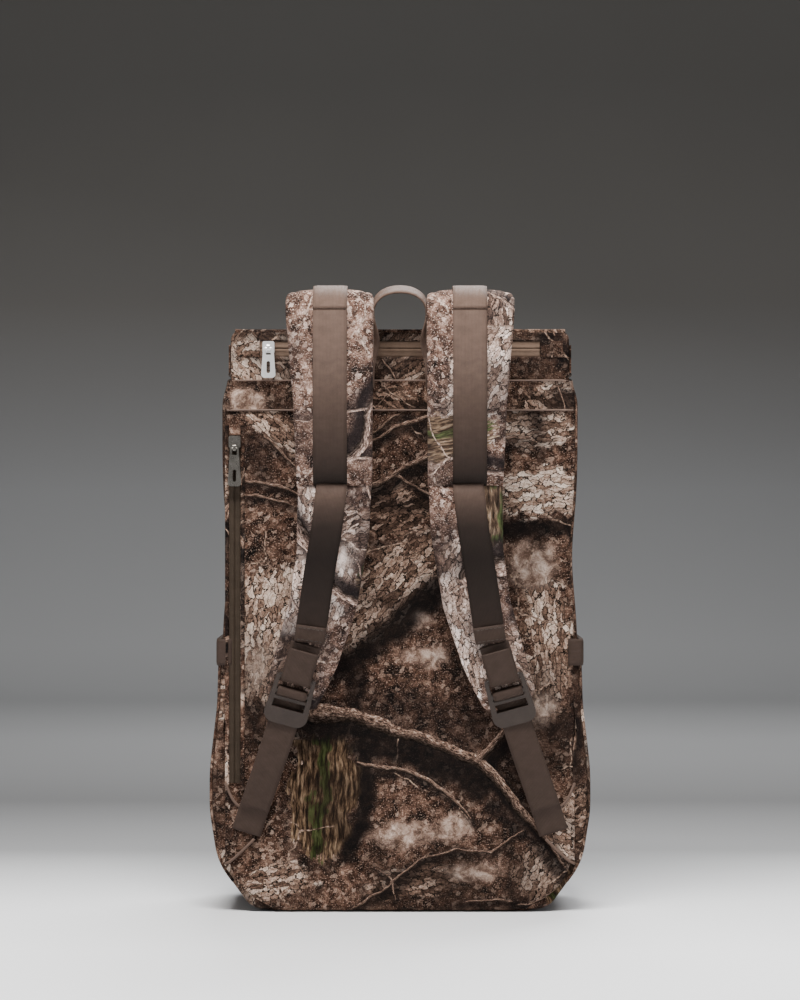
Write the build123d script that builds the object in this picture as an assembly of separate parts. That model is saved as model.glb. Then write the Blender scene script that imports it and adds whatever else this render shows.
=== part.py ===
from build123d import *
import os
from math import cos, hypot, radians, sin, tan

# A soft, boxy rucksack, in millimetres. The origin is the centre of its flat base.
# +Z is up, -Y is the side that carries the shoulder straps, +X is to the right seen from there.

# Main bag
HALF_WIDTH = 148.0
BACK = -75.0
FRONT = 75.0
TOP = 449.0
WALL = 3.0
SIDE_CORNER = 56.0  # where the sides turn into the bottom
FRONT_EDGE = 18.0  # all round the front, but for its top
BACK_EDGE = 7.0  # all round the back, but for its top
BASE_TOP = 22.0
YOKE_BOTTOM = 424.0
BACK_SEAM = -66.0
FRONT_SEAM = 52.0

# What is inside the walls
FOAM = 8.0
SHEET = 2.0
LINING = 1.0
BOARD = 3.0
INSIDE_TOP = TOP - 2.0
FOAM_TOP = 440.0
SLEEVE_Y = -50.0
SLEEVE_HALF_WIDTH = 130.0
SLEEVE_BOTTOM = 20.0
SLEEVE_TOP = 380.0
SLEEVE_THICKNESS = 1.5

# Collar behind the lid, and the skirt under it
COLLAR_HALF_WIDTH = 143.0
COLLAR_TOP = 492.0
COLLAR_WALL = 4.0
COLLAR_CORNER = 9.0
SKIRT_HALF_WIDTH = 139.5
SKIRT_FRONT = 72.0
SKIRT_TOP = 480.0
SKIRT_WALL = 1.5
SKIRT_CORNER = 18.0

# Lid
LID_HALF_WIDTH = 143.5
LID_BACK = -70.5
LID_FRONT = 83.0
LID_SIDE_BOTTOM = 454.0
LID_FLAP_BOTTOM = 330.0
LID_WALL = 3.0
LID_EDGE = 13.0
FLAP_CORNER = 30.0
LID_BOARD = 1.4

# Webbing
WEBBING = 1.6
WEBBING_WIDTH = 25.0
LAYER_GAP = 0.05

# Closure tongues on the front
TONGUE_X = 70.0
TONGUE_HINGE_Z = 337.4
TONGUE_BOTTOM = 266.0
TONGUE_GAP = 0.5
LID_WEBBING_BOTTOM = 339.0
MAGNET_Z = 285.0
MAGNET_RADIUS = 9.5
MAGNET_CAP = 2.6
MAGNET_BASE = 3.5

# Front pocket
POCKET_HALF_WIDTH = 110.0
POCKET_BOTTOM = 30.0
POCKET_TOP = 235.0
POCKET_FRONT = 98.0
POCKET_EDGE = 14.0
POCKET_WALL = 2.0

# Bottle pockets: outline seen from behind, from the bottom round to the mouth
BOTTLE_OUTLINE = [
    (112, 1.5),
    (125, 1.5),
    (154, 41),
    (161, 85),
    (161, 120),
    (155.5, 175),
    (155.5, 228),
    (112, 228),
]
BOTTLE_RADII = [0, 20, 60, 120, 200, 150, 0, 0]
BOTTLE_BACK = -72.0
BOTTLE_FRONT = 62.0
BOTTLE_EDGE = 14.0
BOTTLE_BASE_EDGE = 12.0
BOTTLE_REAR_TOP = 145.0
BOTTLE_MOUTH = 228.0
BOTTLE_SIDE = 155.5
BAND_BOTTOM = 205.0
BAND_TOP = 230.0
BAND_FRONT = 46.0

# Zips
TAPE = 1.2
TOP_ZIP_Z = 477.0
TOP_ZIP_LOW = 468.5
TOP_ZIP_HIGH = 482.5
TOP_ZIP_HALF = 118.0
TOP_ZIP_DEPTH = 0.5
GARAGE_LENGTH = 20.0
TOP_SLIDER_X = -111.0
SIDE_ZIP_X = -139.5
SIDE_ZIP_HALF = 5.2
SIDE_ZIP_LOW = 109.0
SIDE_ZIP_HIGH = 403.0
SIDE_SLIDER_Z = 397.0
FRONT_ZIP_Z = 211.0
FRONT_ZIP_HALF_HEIGHT = 7.0
FRONT_ZIP_HALF = 100.0
FRONT_SLIDER_X = -92.0

# Sliders and pulls, about the slider's middle, with the tape's face at y = 0
SLIDER_HALF = 5.0
SLIDER_HIGH = 4.5
SLIDER_CLEAR = 0.3
BRIDGE_HALF = 1.3
BRIDGE_HIGH = 8.6
PIN_Y = -6.4
PIN_RADIUS = 1.1
PIN_CLEAR = 0.3
PULL_THICKNESS = 2.0
PULL_TOP = 1.5
WINDOW_HALF = 2.1

# Haul handle
LEG_INNER = 22.0
LEG_WIDTH = 20.0
LEG_Y = -87.0
LEG_BOTTOM = 443.0
LEG_TOP = 497.0
LOOP_BOTTOM = 501.0
LOOP_TOP = 527.0
LOOP_HALF = 21.0
LOOP_THICKNESS = 3.2
LOOP_BACK = -100.0
LOOP_FRONT = -78.0
LOOP_CORNER = 16.0

# Shoulder straps: middle of the pad seen from the side, from its root over the top to its tip
STRAP_PATH = [
    (-98.5, 463),
    (-109, 516),
    (-147, 516),
    (-150, 440),
    (-140, 370),
    (-122, 285),
    (-92.3, 172),
]
STRAP_RADII = [15, 17, 200, 250, 300]
STRAP_HALF_THICK = 7.0
STRAP_SEAM = 359.0
UPPER_OUTLINE = [(23, 350), (84.5, 350), (92, 530), (22, 530)]
UPPER_TOP = 523.2
LOWER_OUTLINE = [
    (23.5, STRAP_SEAM),
    (25.5, 319),
    (36, 258),
    (52, 210),
    (68, 174),
    (95, 170),
    (114, 190),
    (91, 267),
    (85.5, 307),
    (84.5, STRAP_SEAM),
]
LOWER_RADII = [0, 300, 200, 200, 14, 14, 14, 150, 200, 0]
UPPER_WEBBING_X = 57.5
UPPER_WEBBING_WIDTH = 28.0
LOWER_WEBBING = [(56, STRAP_SEAM), (60, 327), (67, 286), (75.5, 232)]
LOWER_WEBBING_RADII = [300, 300]
ROOT_PATH = [(-75.5, 434), (-88, 438), (-96, 454)]
ROOT_RADII = [8]
ROOT_HALF_THICK = 5.0
ROOT_INNER = 44.0
ROOT_OUTER = 78.0

# Ladder locks, about the top bar: x across, y up the strap, z away from the bag
LOCK_ORIGIN = Vector(86.5, -111.5, 199.0)
LOCK_DOWN = Vector(13.0, 11.6, -44.0)
LOCK_OUTLINE = [(-16.5, 3.2), (-19, -41), (19, -41), (16.5, 3.2)]
LOCK_RADII = [3, 9, 9, 3]
LOCK_HALF_THICK = 2.5
LOCK_OPENING = 13.6
TOP_BAR_RADIUS = 2.8
BARS = [(-15.0, -11.0), (-20.5, -16.5)]
PLATE_TOP = -27.0
LOOP_INNER = 3.1
LOOP_BACK_LEG = 30.0
LOOP_FRONT_LEG = 20.0
THREAD_HALF = 12.0
THREAD_THICKNESS = 1.4

# Adjuster webbing and the wings it is sewn to
ADJUSTER_SIDE = [(-101.5, 155), (-83.8, 90)]
ADJUSTER_FRONT = [(99.7, 155), (122.2, 90)]
WING_OUTLINE = [(147, 108), (138, 92), (122, 84), (124, 60), (142, 44), (147, 42)]
WING_THICKNESS = 3.0
WING_WEBBING = [(124.2, 84), (129, 70)]


def point(plane, a, b):
    """The point (a, b) of the plane yz, xz or xy."""
    places = {"yz": (0, a, b), "xz": (a, 0, b), "xy": (a, b, 0)}
    return Vector(*places[plane])


def heading(a, b):
    """The unit vector from a to b, in two dimensions."""
    length = hypot(b[0] - a[0], b[1] - a[1])
    return (b[0] - a[0]) / length, (b[1] - a[1]) / length


def corner(before, here, after, radius, shift):
    """Where a path that runs `shift` to the left of a corner starts, halves and ends its arc."""
    d1 = heading(before, here)
    d2 = heading(here, after)
    turn = d1[0] * d2[1] - d1[1] * d2[0]
    side = 1 if turn > 0 else -1
    along = d1[0] * d2[0] + d1[1] * d2[1]
    if radius - side * shift < 0.01:
        mitre = shift / (1 + along)
        return [
            (
                here[0] - (d1[1] + d2[1]) * mitre,
                here[1] + (d1[0] + d2[0]) * mitre,
            )
        ]
    reach = radius * abs(turn) / (1 + along)
    start = (here[0] - d1[0] * reach, here[1] - d1[1] * reach)
    centre = (start[0] - d1[1] * radius * side, start[1] + d1[0] * radius * side)
    out = heading(centre, here)
    shifted = radius - side * shift
    return [
        (start[0] - d1[1] * shift, start[1] + d1[0] * shift),
        (centre[0] + out[0] * shifted, centre[1] + out[1] * shifted),
        (
            here[0] + d2[0] * reach - d2[1] * shift,
            here[1] + d2[1] * reach + d2[0] * shift,
        ),
    ]


def open_stops(points, radii, shift):
    """The stops of an open path beside the filleted polyline, from its start to its end."""
    first = heading(points[0], points[1])
    last = heading(points[-2], points[-1])
    stops = [[(points[0][0] - first[1] * shift, points[0][1] + first[0] * shift)]]
    for i, radius in enumerate(radii):
        stops.append(corner(points[i], points[i + 1], points[i + 2], radius, shift))
    stops.append([(points[-1][0] - last[1] * shift, points[-1][1] + last[0] * shift)])
    return stops


def closed_face(stops, plane):
    """The face inside straight runs that join the stops; a stop of three points is an arc."""
    edges = []
    for i, stop in enumerate(stops):
        places = [point(plane, *p) for p in stop]
        if len(places) == 3:
            edges.append(Edge.make_three_point_arc(*places))
        following = point(plane, *stops[(i + 1) % len(stops)][0])
        if (following - places[-1]).length > 1e-4:
            edges.append(Edge.make_line(places[-1], following))
    return Face(Wire(edges))


def extruded(face, plane, low, high):
    """The face, pulled square to its plane from low to high."""
    direction = {"yz": Vector(1, 0, 0), "xz": Vector(0, 1, 0), "xy": Vector(0, 0, 1)}[plane]
    placed = Location(direction * low) * face
    return extrude(placed, amount=high - low, dir=direction)


def prism(points, radii, plane, low, high, inset=0.0):
    """A closed outline, listed anticlockwise, with rounded corners, pulled from low to high."""
    if isinstance(radii, (int, float)):
        radii = [radii] * len(points)
    stops = []
    for i, here in enumerate(points):
        after = points[(i + 1) % len(points)]
        stops.append(corner(points[i - 1], here, after, radii[i], inset))
    return extruded(closed_face(stops, plane), plane, low, high)


def ribbon(points, radii, plane, right, left, low, high):
    """A band along a filleted path, from `right` to `left` of it, pulled from low to high."""
    forward = open_stops(points, radii, right)
    back = [stop[::-1] for stop in open_stops(points, radii, left)[::-1]]
    return extruded(closed_face(forward + back, plane), plane, low, high)


def block(x0, x1, y0, y1, z0, z1):
    """A plain box between two corners."""
    middle = Pos((x0 + x1) / 2, (y0 + y1) / 2, (z0 + z1) / 2)
    return middle * Box(x1 - x0, y1 - y0, z1 - z0)


def rectangle(a0, a1, b0, b1):
    """The corners of a rectangle, anticlockwise."""
    return [(a0, b0), (a1, b0), (a1, b1), (a0, b1)]


def disc(x, y0, y1, z, radius):
    """A round plate square to Y."""
    place = Location((x, (y0 + y1) / 2, z), (90, 0, 0))
    return place * Cylinder(radius, y1 - y0)


def mirrored(part):
    """The same part on the other side."""
    return mirror(part, about=Plane.YZ)


def bag_solid(inset, back, bottom, top):
    """The main bag's outer form, or the form that lies `inset` inside it."""
    side = HALF_WIDTH - inset
    bag = prism(
        rectangle(-side, side, bottom, top),
        [SIDE_CORNER - inset, SIDE_CORNER - inset, 0, 0],
        "xz",
        back,
        FRONT - inset,
    )
    front_edges = bag.faces().sort_by(Axis.Y)[-1].edges().sort_by(Axis.Z)[:-1]
    bag = fillet(front_edges, FRONT_EDGE - inset)
    back_edges = bag.faces().sort_by(Axis.Y)[0].edges().sort_by(Axis.Z)[:-1]
    return fillet(back_edges, BACK_EDGE - inset)


def main_panels():
    """The shell's panels, cut along its seams."""
    shell = bag_solid(0, BACK, 0, TOP) - bag_solid(WALL, BACK + WALL, WALL, TOP + 1)
    wide = HALF_WIDTH + 5
    deep = FRONT + 5
    middle = 10.0
    return {
        "bottom_panel": shell & block(-wide, wide, -deep, deep, -1, BASE_TOP),
        "back_panel": shell & block(-wide, wide, -deep, BACK_SEAM, BASE_TOP, YOKE_BOTTOM),
        "yoke_panel": shell & block(-wide, wide, -deep, BACK_SEAM, YOKE_BOTTOM, TOP),
        "front_panel": shell & block(-wide, wide, FRONT_SEAM, deep, BASE_TOP, TOP),
        "right_side_panel": shell & block(middle, wide, BACK_SEAM, FRONT_SEAM, BASE_TOP, TOP),
        "left_side_panel": shell & block(-wide, -middle, BACK_SEAM, FRONT_SEAM, BASE_TOP, TOP),
    }


def inner_parts():
    """Foam, frame sheet, board, lining and sleeve divider."""
    foam_back = BACK + WALL
    sheet_back = foam_back + FOAM
    lining_back = sheet_back + SHEET
    half = HALF_WIDTH - BACK_EDGE
    board_half = HALF_WIDTH - SIDE_CORNER
    low = WALL + FRONT_EDGE
    board_outline = rectangle(-half, half, low, FOAM_TOP)
    board_corners = [SIDE_CORNER, SIDE_CORNER, 0, 0]
    outer = bag_solid(WALL, lining_back, WALL + BOARD, INSIDE_TOP)
    inner = bag_solid(
        WALL + LINING, lining_back + LINING, WALL + BOARD + LINING, INSIDE_TOP + 1
    )
    return {
        "back_foam": prism(board_outline, board_corners, "xz", foam_back, sheet_back),
        "frame_sheet": prism(board_outline, board_corners, "xz", sheet_back, lining_back),
        "bottom_board": block(
            -board_half, board_half, SLEEVE_Y - 8, FRONT - FRONT_EDGE, WALL, WALL + BOARD
        ),
        "lining": outer - inner,
        "laptop_sleeve": prism(
            rectangle(-SLEEVE_HALF_WIDTH, SLEEVE_HALF_WIDTH, SLEEVE_BOTTOM, SLEEVE_TOP),
            board_corners,
            "xz",
            SLEEVE_Y,
            SLEEVE_Y + SLEEVE_THICKNESS,
        ),
    }


def rear_collar():
    """The wall behind the lid, with the slot that the top zip fills."""
    wall = prism(
        rectangle(-COLLAR_HALF_WIDTH, COLLAR_HALF_WIDTH, TOP, COLLAR_TOP),
        [0, 0, COLLAR_CORNER, COLLAR_CORNER],
        "xz",
        BACK,
        BACK + COLLAR_WALL,
    )
    slot = block(
        -TOP_ZIP_HALF, TOP_ZIP_HALF, BACK - 1, BACK + COLLAR_WALL + 1, TOP_ZIP_LOW, TOP_ZIP_HIGH
    )
    return wall - slot


def mouth_skirt():
    """The wall inside the lid, on a ledge that joins it to the bag's top edge."""
    back = BACK + COLLAR_WALL
    half = SKIRT_HALF_WIDTH
    ledge_half = HALF_WIDTH - WALL
    ledge = prism(
        rectangle(-ledge_half, ledge_half, BACK + WALL, SKIRT_FRONT),
        [BACK_EDGE - WALL, BACK_EDGE - WALL, FRONT_EDGE - WALL, FRONT_EDGE - WALL],
        "xy",
        INSIDE_TOP,
        TOP,
    )
    wall = prism(
        rectangle(-half, half, back, SKIRT_FRONT),
        [0, 0, SKIRT_CORNER, SKIRT_CORNER],
        "xy",
        INSIDE_TOP,
        SKIRT_TOP,
    )
    inside = half - SKIRT_WALL
    mouth = prism(
        rectangle(-inside, inside, back - 1, SKIRT_FRONT - SKIRT_WALL),
        [0, 0, SKIRT_CORNER - SKIRT_WALL, SKIRT_CORNER - SKIRT_WALL],
        "xy",
        TOP,
        SKIRT_TOP + 1,
    )
    well = prism(
        rectangle(-inside, inside, back + 10, SKIRT_FRONT - SKIRT_WALL),
        [0, 0, SKIRT_CORNER - SKIRT_WALL, SKIRT_CORNER - SKIRT_WALL],
        "xy",
        INSIDE_TOP - 1,
        TOP + 1,
    )
    return ledge + wall - mouth - well


def lid_form(inset, bottom):
    """The lid's box, or the form that lies `inset` inside it."""
    half = LID_HALF_WIDTH - inset
    front = LID_FRONT - inset
    high = COLLAR_TOP - inset
    edge = LID_EDGE - inset
    across = prism(
        rectangle(-half, half, bottom, high), [0, 0, edge, edge], "xz", LID_BACK, front
    )
    along = prism(
        rectangle(LID_BACK, front, bottom, high), [0, 0, edge, 0], "yz", -half, half
    )
    return across & along


def lid_parts():
    """The lid's shell, its stiff lining and the two webbings on it."""
    walls = lid_form(0, LID_SIDE_BOTTOM) - lid_form(LID_WALL, LID_SIDE_BOTTOM - 1)
    half = LID_HALF_WIDTH
    flap = prism(
        rectangle(-half, half, LID_FLAP_BOTTOM, LID_SIDE_BOTTOM + LID_EDGE),
        [FLAP_CORNER, FLAP_CORNER, 0, 0],
        "xz",
        LID_FRONT - LID_WALL,
        LID_FRONT,
    )
    board_top = COLLAR_TOP - LID_WALL
    board = block(
        -half + LID_EDGE + 2,
        half - LID_EDGE - 2,
        LID_BACK + 2,
        LID_FRONT - LID_EDGE - 2,
        board_top - LID_BOARD,
        board_top,
    )
    route = [
        (LID_BACK + 1, COLLAR_TOP),
        (LID_FRONT, COLLAR_TOP),
        (LID_FRONT, LID_WEBBING_BOTTOM),
    ]
    webbings = Part()
    for side in (-1, 1):
        middle = side * TONGUE_X
        webbings += ribbon(
            route,
            [LID_EDGE],
            "yz",
            LAYER_GAP,
            WEBBING,
            middle - WEBBING_WIDTH / 2,
            middle + WEBBING_WIDTH / 2,
        )
    return {"lid_shell": walls + flap, "lid_board": board, "lid_webbings": webbings}


def closure_parts():
    """Tongues that hang from the lid, and the magnets that hold them to the front."""
    tongue_low = LID_FRONT
    tongue_high = LID_FRONT + WEBBING
    half = WEBBING_WIDTH / 2
    tongue = block(
        TONGUE_X - half, TONGUE_X + half, tongue_low, tongue_high, TONGUE_BOTTOM,
        TONGUE_HINGE_Z,
    )
    tongue -= block(
        TONGUE_X - half - 1, TONGUE_X + half + 1, tongue_low - 1, tongue_low + TONGUE_GAP,
        LID_FLAP_BOTTOM - 2, TONGUE_HINGE_Z + 1,
    )
    roll = (WEBBING - TONGUE_GAP) / 2
    tongue += Location((TONGUE_X, tongue_high - roll, TONGUE_HINGE_Z), (0, 90, 0)) * Cylinder(
        roll, WEBBING_WIDTH
    )
    cap = disc(TONGUE_X, tongue_low - MAGNET_CAP, tongue_low, MAGNET_Z, MAGNET_RADIUS)
    strip_front = FRONT + WEBBING
    strip = block(
        TONGUE_X - half, TONGUE_X + half, FRONT, strip_front, POCKET_TOP + 5, MAGNET_Z + 45
    )
    base = disc(TONGUE_X, strip_front, strip_front + MAGNET_BASE, MAGNET_Z, MAGNET_RADIUS)
    return {
        "right_tongue": tongue,
        "left_tongue": mirrored(tongue),
        "right_magnet_cap": cap,
        "left_magnet_cap": mirrored(cap),
        "front_webbings": strip + mirrored(strip),
        "magnet_bases": base + mirrored(base),
    }


def front_pocket():
    """A zipped pocket on the front, closed all round."""

    def form(inset):
        across = prism(
            rectangle(-POCKET_HALF_WIDTH, POCKET_HALF_WIDTH, POCKET_BOTTOM, POCKET_TOP),
            POCKET_EDGE,
            "xz",
            FRONT + inset / 2,
            POCKET_FRONT - inset,
            inset,
        )
        along = prism(
            rectangle(FRONT, POCKET_FRONT, POCKET_BOTTOM, POCKET_TOP),
            [0, POCKET_EDGE / 2, POCKET_EDGE / 2, 0],
            "yz",
            -POCKET_HALF_WIDTH,
            POCKET_HALF_WIDTH,
            inset,
        )
        return across & along

    return form(0) - form(POCKET_WALL)


def bottle_pocket():
    """The right bottle pocket: open at the top, and low at its rear edge."""

    def form(inset, top):
        outline = [(x, z if z < BOTTLE_MOUTH else top) for x, z in BOTTLE_OUTLINE]
        across = prism(outline, BOTTLE_RADII, "xz", BOTTLE_BACK + inset, BOTTLE_FRONT, inset)
        inner = BOTTLE_OUTLINE[0][0]
        floor = BOTTLE_OUTLINE[0][1]
        plan = prism(
            rectangle(inner, BOTTLE_SIDE + BOTTLE_EDGE, BOTTLE_BACK, BOTTLE_FRONT),
            [0, 0, 2 * BOTTLE_EDGE, 0],
            "xy",
            0,
            top,
            inset,
        )
        along = prism(
            rectangle(BOTTLE_BACK, BOTTLE_FRONT, floor, top),
            [BOTTLE_BASE_EDGE, BOTTLE_BASE_EDGE, 0, 0],
            "yz",
            inner,
            BOTTLE_SIDE + BOTTLE_EDGE,
            inset,
        )
        return across & plan & along

    bag = bag_solid(0, BACK, 0, TOP)
    shell = form(0, BOTTLE_MOUTH) - form(POCKET_WALL, BOTTLE_MOUTH + 20) - bag
    gap = block(
        HALF_WIDTH - 1, HALF_WIDTH + 30, BOTTLE_BACK - 1, BOTTLE_BACK + 6, BOTTLE_REAR_TOP, TOP
    )
    return shell - gap


def pocket_band():
    """The webbing round the right bottle pocket's mouth, sewn into the back seam."""
    rear = BOTTLE_BACK - 1
    outline = [
        (HALF_WIDTH + 0.5, rear - WEBBING),
        (BOTTLE_SIDE + WEBBING, rear - WEBBING),
        (BOTTLE_SIDE + WEBBING, BAND_FRONT),
        (BOTTLE_SIDE, BAND_FRONT),
        (BOTTLE_SIDE, rear),
        (HALF_WIDTH + 0.5, rear),
    ]
    return prism(outline, 0, "xy", BAND_BOTTOM, BAND_TOP)


def zip_parts():
    """The three tapes, and the fabric tabs that close the ends of the top one."""
    face = BACK + TOP_ZIP_DEPTH
    top = block(-TOP_ZIP_HALF, TOP_ZIP_HALF, face, face + TAPE, TOP_ZIP_LOW, TOP_ZIP_HIGH)
    side = block(
        SIDE_ZIP_X - SIDE_ZIP_HALF, SIDE_ZIP_X + SIDE_ZIP_HALF, BACK - TAPE, BACK,
        SIDE_ZIP_LOW, SIDE_ZIP_HIGH,
    )
    front = block(
        -FRONT_ZIP_HALF, FRONT_ZIP_HALF, POCKET_FRONT, POCKET_FRONT + TAPE,
        FRONT_ZIP_Z - FRONT_ZIP_HALF_HEIGHT, FRONT_ZIP_Z + FRONT_ZIP_HALF_HEIGHT,
    )
    garage = block(
        TOP_ZIP_HALF, TOP_ZIP_HALF + GARAGE_LENGTH, BACK - 1, BACK, TOP_ZIP_LOW, TOP_ZIP_HIGH
    )
    return {
        "top_zip_tape": top,
        "top_zip_garages": garage + mirrored(garage),
        "side_zip_tape": side,
        "front_zip_tape": front,
    }


def slider(pin_z):
    """A zip slider facing -Y, with a bridge that holds the pull's pin."""
    body = prism(
        rectangle(-SLIDER_HALF, SLIDER_HALF, -SLIDER_HALF, SLIDER_HALF),
        1.5,
        "xz",
        -SLIDER_HIGH,
        -SLIDER_CLEAR,
    )
    bridge = prism(
        rectangle(-BRIDGE_HIGH, -SLIDER_HIGH + 0.5, pin_z - 2.4, pin_z + 3.2),
        [1.5, 0, 0, 1.5],
        "yz",
        -BRIDGE_HALF,
        BRIDGE_HALF,
    )
    hole = Location((0, PIN_Y, pin_z), (0, 90, 0)) * Cylinder(
        PIN_RADIUS + PIN_CLEAR, 4 * BRIDGE_HALF
    )
    return body + bridge - hole


def pull(pin_z, length, top_width, bottom_width):
    """A hanging zip pull: a tapered plate with a long slot, and a pin across its window."""
    low = pin_z - length
    high = pin_z + PULL_TOP
    plate = prism(
        [
            (-top_width / 2, high),
            (-bottom_width / 2, low),
            (bottom_width / 2, low),
            (top_width / 2, high),
        ],
        [1, 3, 3, 1],
        "xz",
        PIN_Y - PULL_THICKNESS / 2,
        PIN_Y + PULL_THICKNESS / 2,
    )
    window = block(-WINDOW_HALF, WINDOW_HALF, -20, 20, pin_z - 5.5, pin_z + 5)
    slot = prism(
        rectangle(-1.5, 1.5, low + 4, low + 14), 1.45, "xz", -20, 20
    )
    pin = Location((0, PIN_Y, pin_z), (0, 90, 0)) * Cylinder(PIN_RADIUS, top_width - 1.5)
    return plate - window - slot + pin


def slider_parts():
    """Each slider and its pull, in place on its tape."""
    top = Pos(TOP_SLIDER_X, BACK + TOP_ZIP_DEPTH, TOP_ZIP_Z)
    side = Pos(SIDE_ZIP_X, BACK - TAPE, SIDE_SLIDER_Z)
    front = Location((FRONT_SLIDER_X, POCKET_FRONT + TAPE, FRONT_ZIP_Z), (0, 0, 180))
    return {
        "top_slider": top * slider(-1.0),
        "top_pull": top * pull(-1.0, 25.0, 8.6, 12.5),
        "side_slider": side * slider(-5.5),
        "side_pull": side * pull(-5.5, 32.0, 7.0, 11.6),
        "front_slider": front * slider(-1.0),
        "front_pull": front * pull(-1.0, 25.0, 8.6, 12.5),
    }


def handle_parts():
    """The haul handle's two legs, sewn to the yoke, and its loop."""
    leg = ribbon(
        [(BACK, LEG_BOTTOM), (LEG_Y, LEG_BOTTOM), (LEG_Y, LEG_TOP)],
        [6],
        "yz",
        -WEBBING / 2,
        WEBBING / 2,
        LEG_INNER,
        LEG_INNER + LEG_WIDTH,
    )
    route = [
        (LOOP_HALF, LOOP_BOTTOM),
        (LOOP_HALF, LOOP_TOP),
        (-LOOP_HALF, LOOP_TOP),
        (-LOOP_HALF, LOOP_BOTTOM),
    ]
    loop = ribbon(
        route, [LOOP_CORNER] * 2, "xz", 0, LOOP_THICKNESS, LOOP_BACK, LOOP_FRONT
    )
    return {"handle_legs": leg + mirrored(leg), "handle_loop": loop}


def strap_layer(right, left, outline_solid):
    """A layer of the right shoulder strap, between two depths beside its side-view path."""
    layer = ribbon(STRAP_PATH, STRAP_RADII, "yz", right, left, 0, HALF_WIDTH)
    return layer & outline_solid


def strap_parts():
    """The right strap's pads and webbings."""
    reach = (BACK - 100, BACK)
    skin = -STRAP_HALF_THICK
    upper = prism(UPPER_OUTLINE, [0, 0, 14, 14], "xz", *reach)
    above = block(0, HALF_WIDTH, *reach, STRAP_SEAM, UPPER_TOP + 10)
    lower = prism(LOWER_OUTLINE, LOWER_RADII, "xz", *reach)
    half = UPPER_WEBBING_WIDTH / 2
    upper_band = block(
        UPPER_WEBBING_X - half, UPPER_WEBBING_X + half, *reach, STRAP_SEAM, UPPER_TOP + 10
    )
    half = WEBBING_WIDTH / 2
    lower_band = ribbon(LOWER_WEBBING, LOWER_WEBBING_RADII, "xz", -half, half, *reach)
    lower_band &= block(0, HALF_WIDTH, *reach, 0, STRAP_SEAM)
    root = ribbon(
        ROOT_PATH, ROOT_RADII, "yz", -ROOT_HALF_THICK, ROOT_HALF_THICK, ROOT_INNER, ROOT_OUTER
    )
    root &= block(0, HALF_WIDTH, BACK - 40, BACK, YOKE_BOTTOM - 10, TOP + 20)
    outer = skin - WEBBING
    return {
        "pad_upper": strap_layer(skin, STRAP_HALF_THICK, upper & above),
        "pad_lower": strap_layer(skin, STRAP_HALF_THICK, lower),
        "webbing_upper": strap_layer(outer, skin - LAYER_GAP, upper_band),
        "webbing_lower": strap_layer(outer, skin - LAYER_GAP, lower_band),
        "root": root,
    }


def lock_place():
    """The right ladder lock's own frame: x across, y up the strap, z away from the bag."""
    down = LOCK_DOWN.normalized()
    away = Vector(0, down.Z, -down.Y).normalized()
    across = away.cross(down)
    return Plane(origin=LOCK_ORIGIN, x_dir=across, z_dir=away)


def lock_parts():
    """The right ladder lock, the loop round its top bar and the webbing threaded through it."""
    frame = prism(LOCK_OUTLINE, LOCK_RADII, "xy", -LOCK_HALF_THICK, LOCK_HALF_THICK)
    opening = block(
        -LOCK_OPENING, LOCK_OPENING, PLATE_TOP, 10, -LOCK_HALF_THICK - 1, LOCK_HALF_THICK + 1
    )
    frame -= opening
    for low, high in BARS:
        frame += prism(
            rectangle(low, high, -LOCK_HALF_THICK, LOCK_HALF_THICK),
            1.2,
            "yz",
            -LOCK_OPENING - 1,
            LOCK_OPENING + 1,
        )
    frame += Rot(0, 90, 0) * Cylinder(TOP_BAR_RADIUS, 2 * LOCK_OPENING + 2)
    middle = LOOP_INNER + WEBBING / 2
    half = WEBBING_WIDTH / 2
    loop = ribbon(
        [
            (LOOP_BACK_LEG, -middle),
            (-middle, -middle),
            (-middle, middle),
            (LOOP_FRONT_LEG, middle),
        ],
        [middle - 0.01] * 2,
        "yz",
        -WEBBING / 2,
        WEBBING / 2,
        -half,
        half,
    )
    high = BARS[0][1] + 1.8
    low = BARS[1][0] - 1.8
    front = LOCK_HALF_THICK + 1.3
    thread = ribbon(
        [(high, -4), (high, front), (low, front), (low, -4)],
        [1.5] * 2,
        "yz",
        -THREAD_THICKNESS / 2,
        THREAD_THICKNESS / 2,
        -THREAD_HALF,
        THREAD_HALF,
    )
    place = lock_place().location
    return {
        "ladder_lock": place * frame,
        "bar_loop": place * loop,
        "threaded_webbing": place * thread,
    }


def adjuster():
    """The webbing from the right ladder lock down towards the wing."""
    half = WEBBING_WIDTH / 2
    side = ribbon(ADJUSTER_SIDE, [], "yz", -WEBBING, WEBBING, 0, HALF_WIDTH)
    front = ribbon(ADJUSTER_FRONT, [], "xz", -half, half, BACK - 60, BACK)
    return side & front


def wing_parts():
    """The right wing and the webbing end sewn to it."""
    outline = WING_OUTLINE[::-1]
    wing = prism(
        outline, [0, 4, 6, 6, 4, 0], "xz", BACK - WING_THICKNESS, BACK
    )
    half = WEBBING_WIDTH / 2
    face = BACK - WING_THICKNESS
    end = ribbon(WING_WEBBING, [], "xz", -half, half, face - WEBBING, face)
    return wing, end


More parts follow.
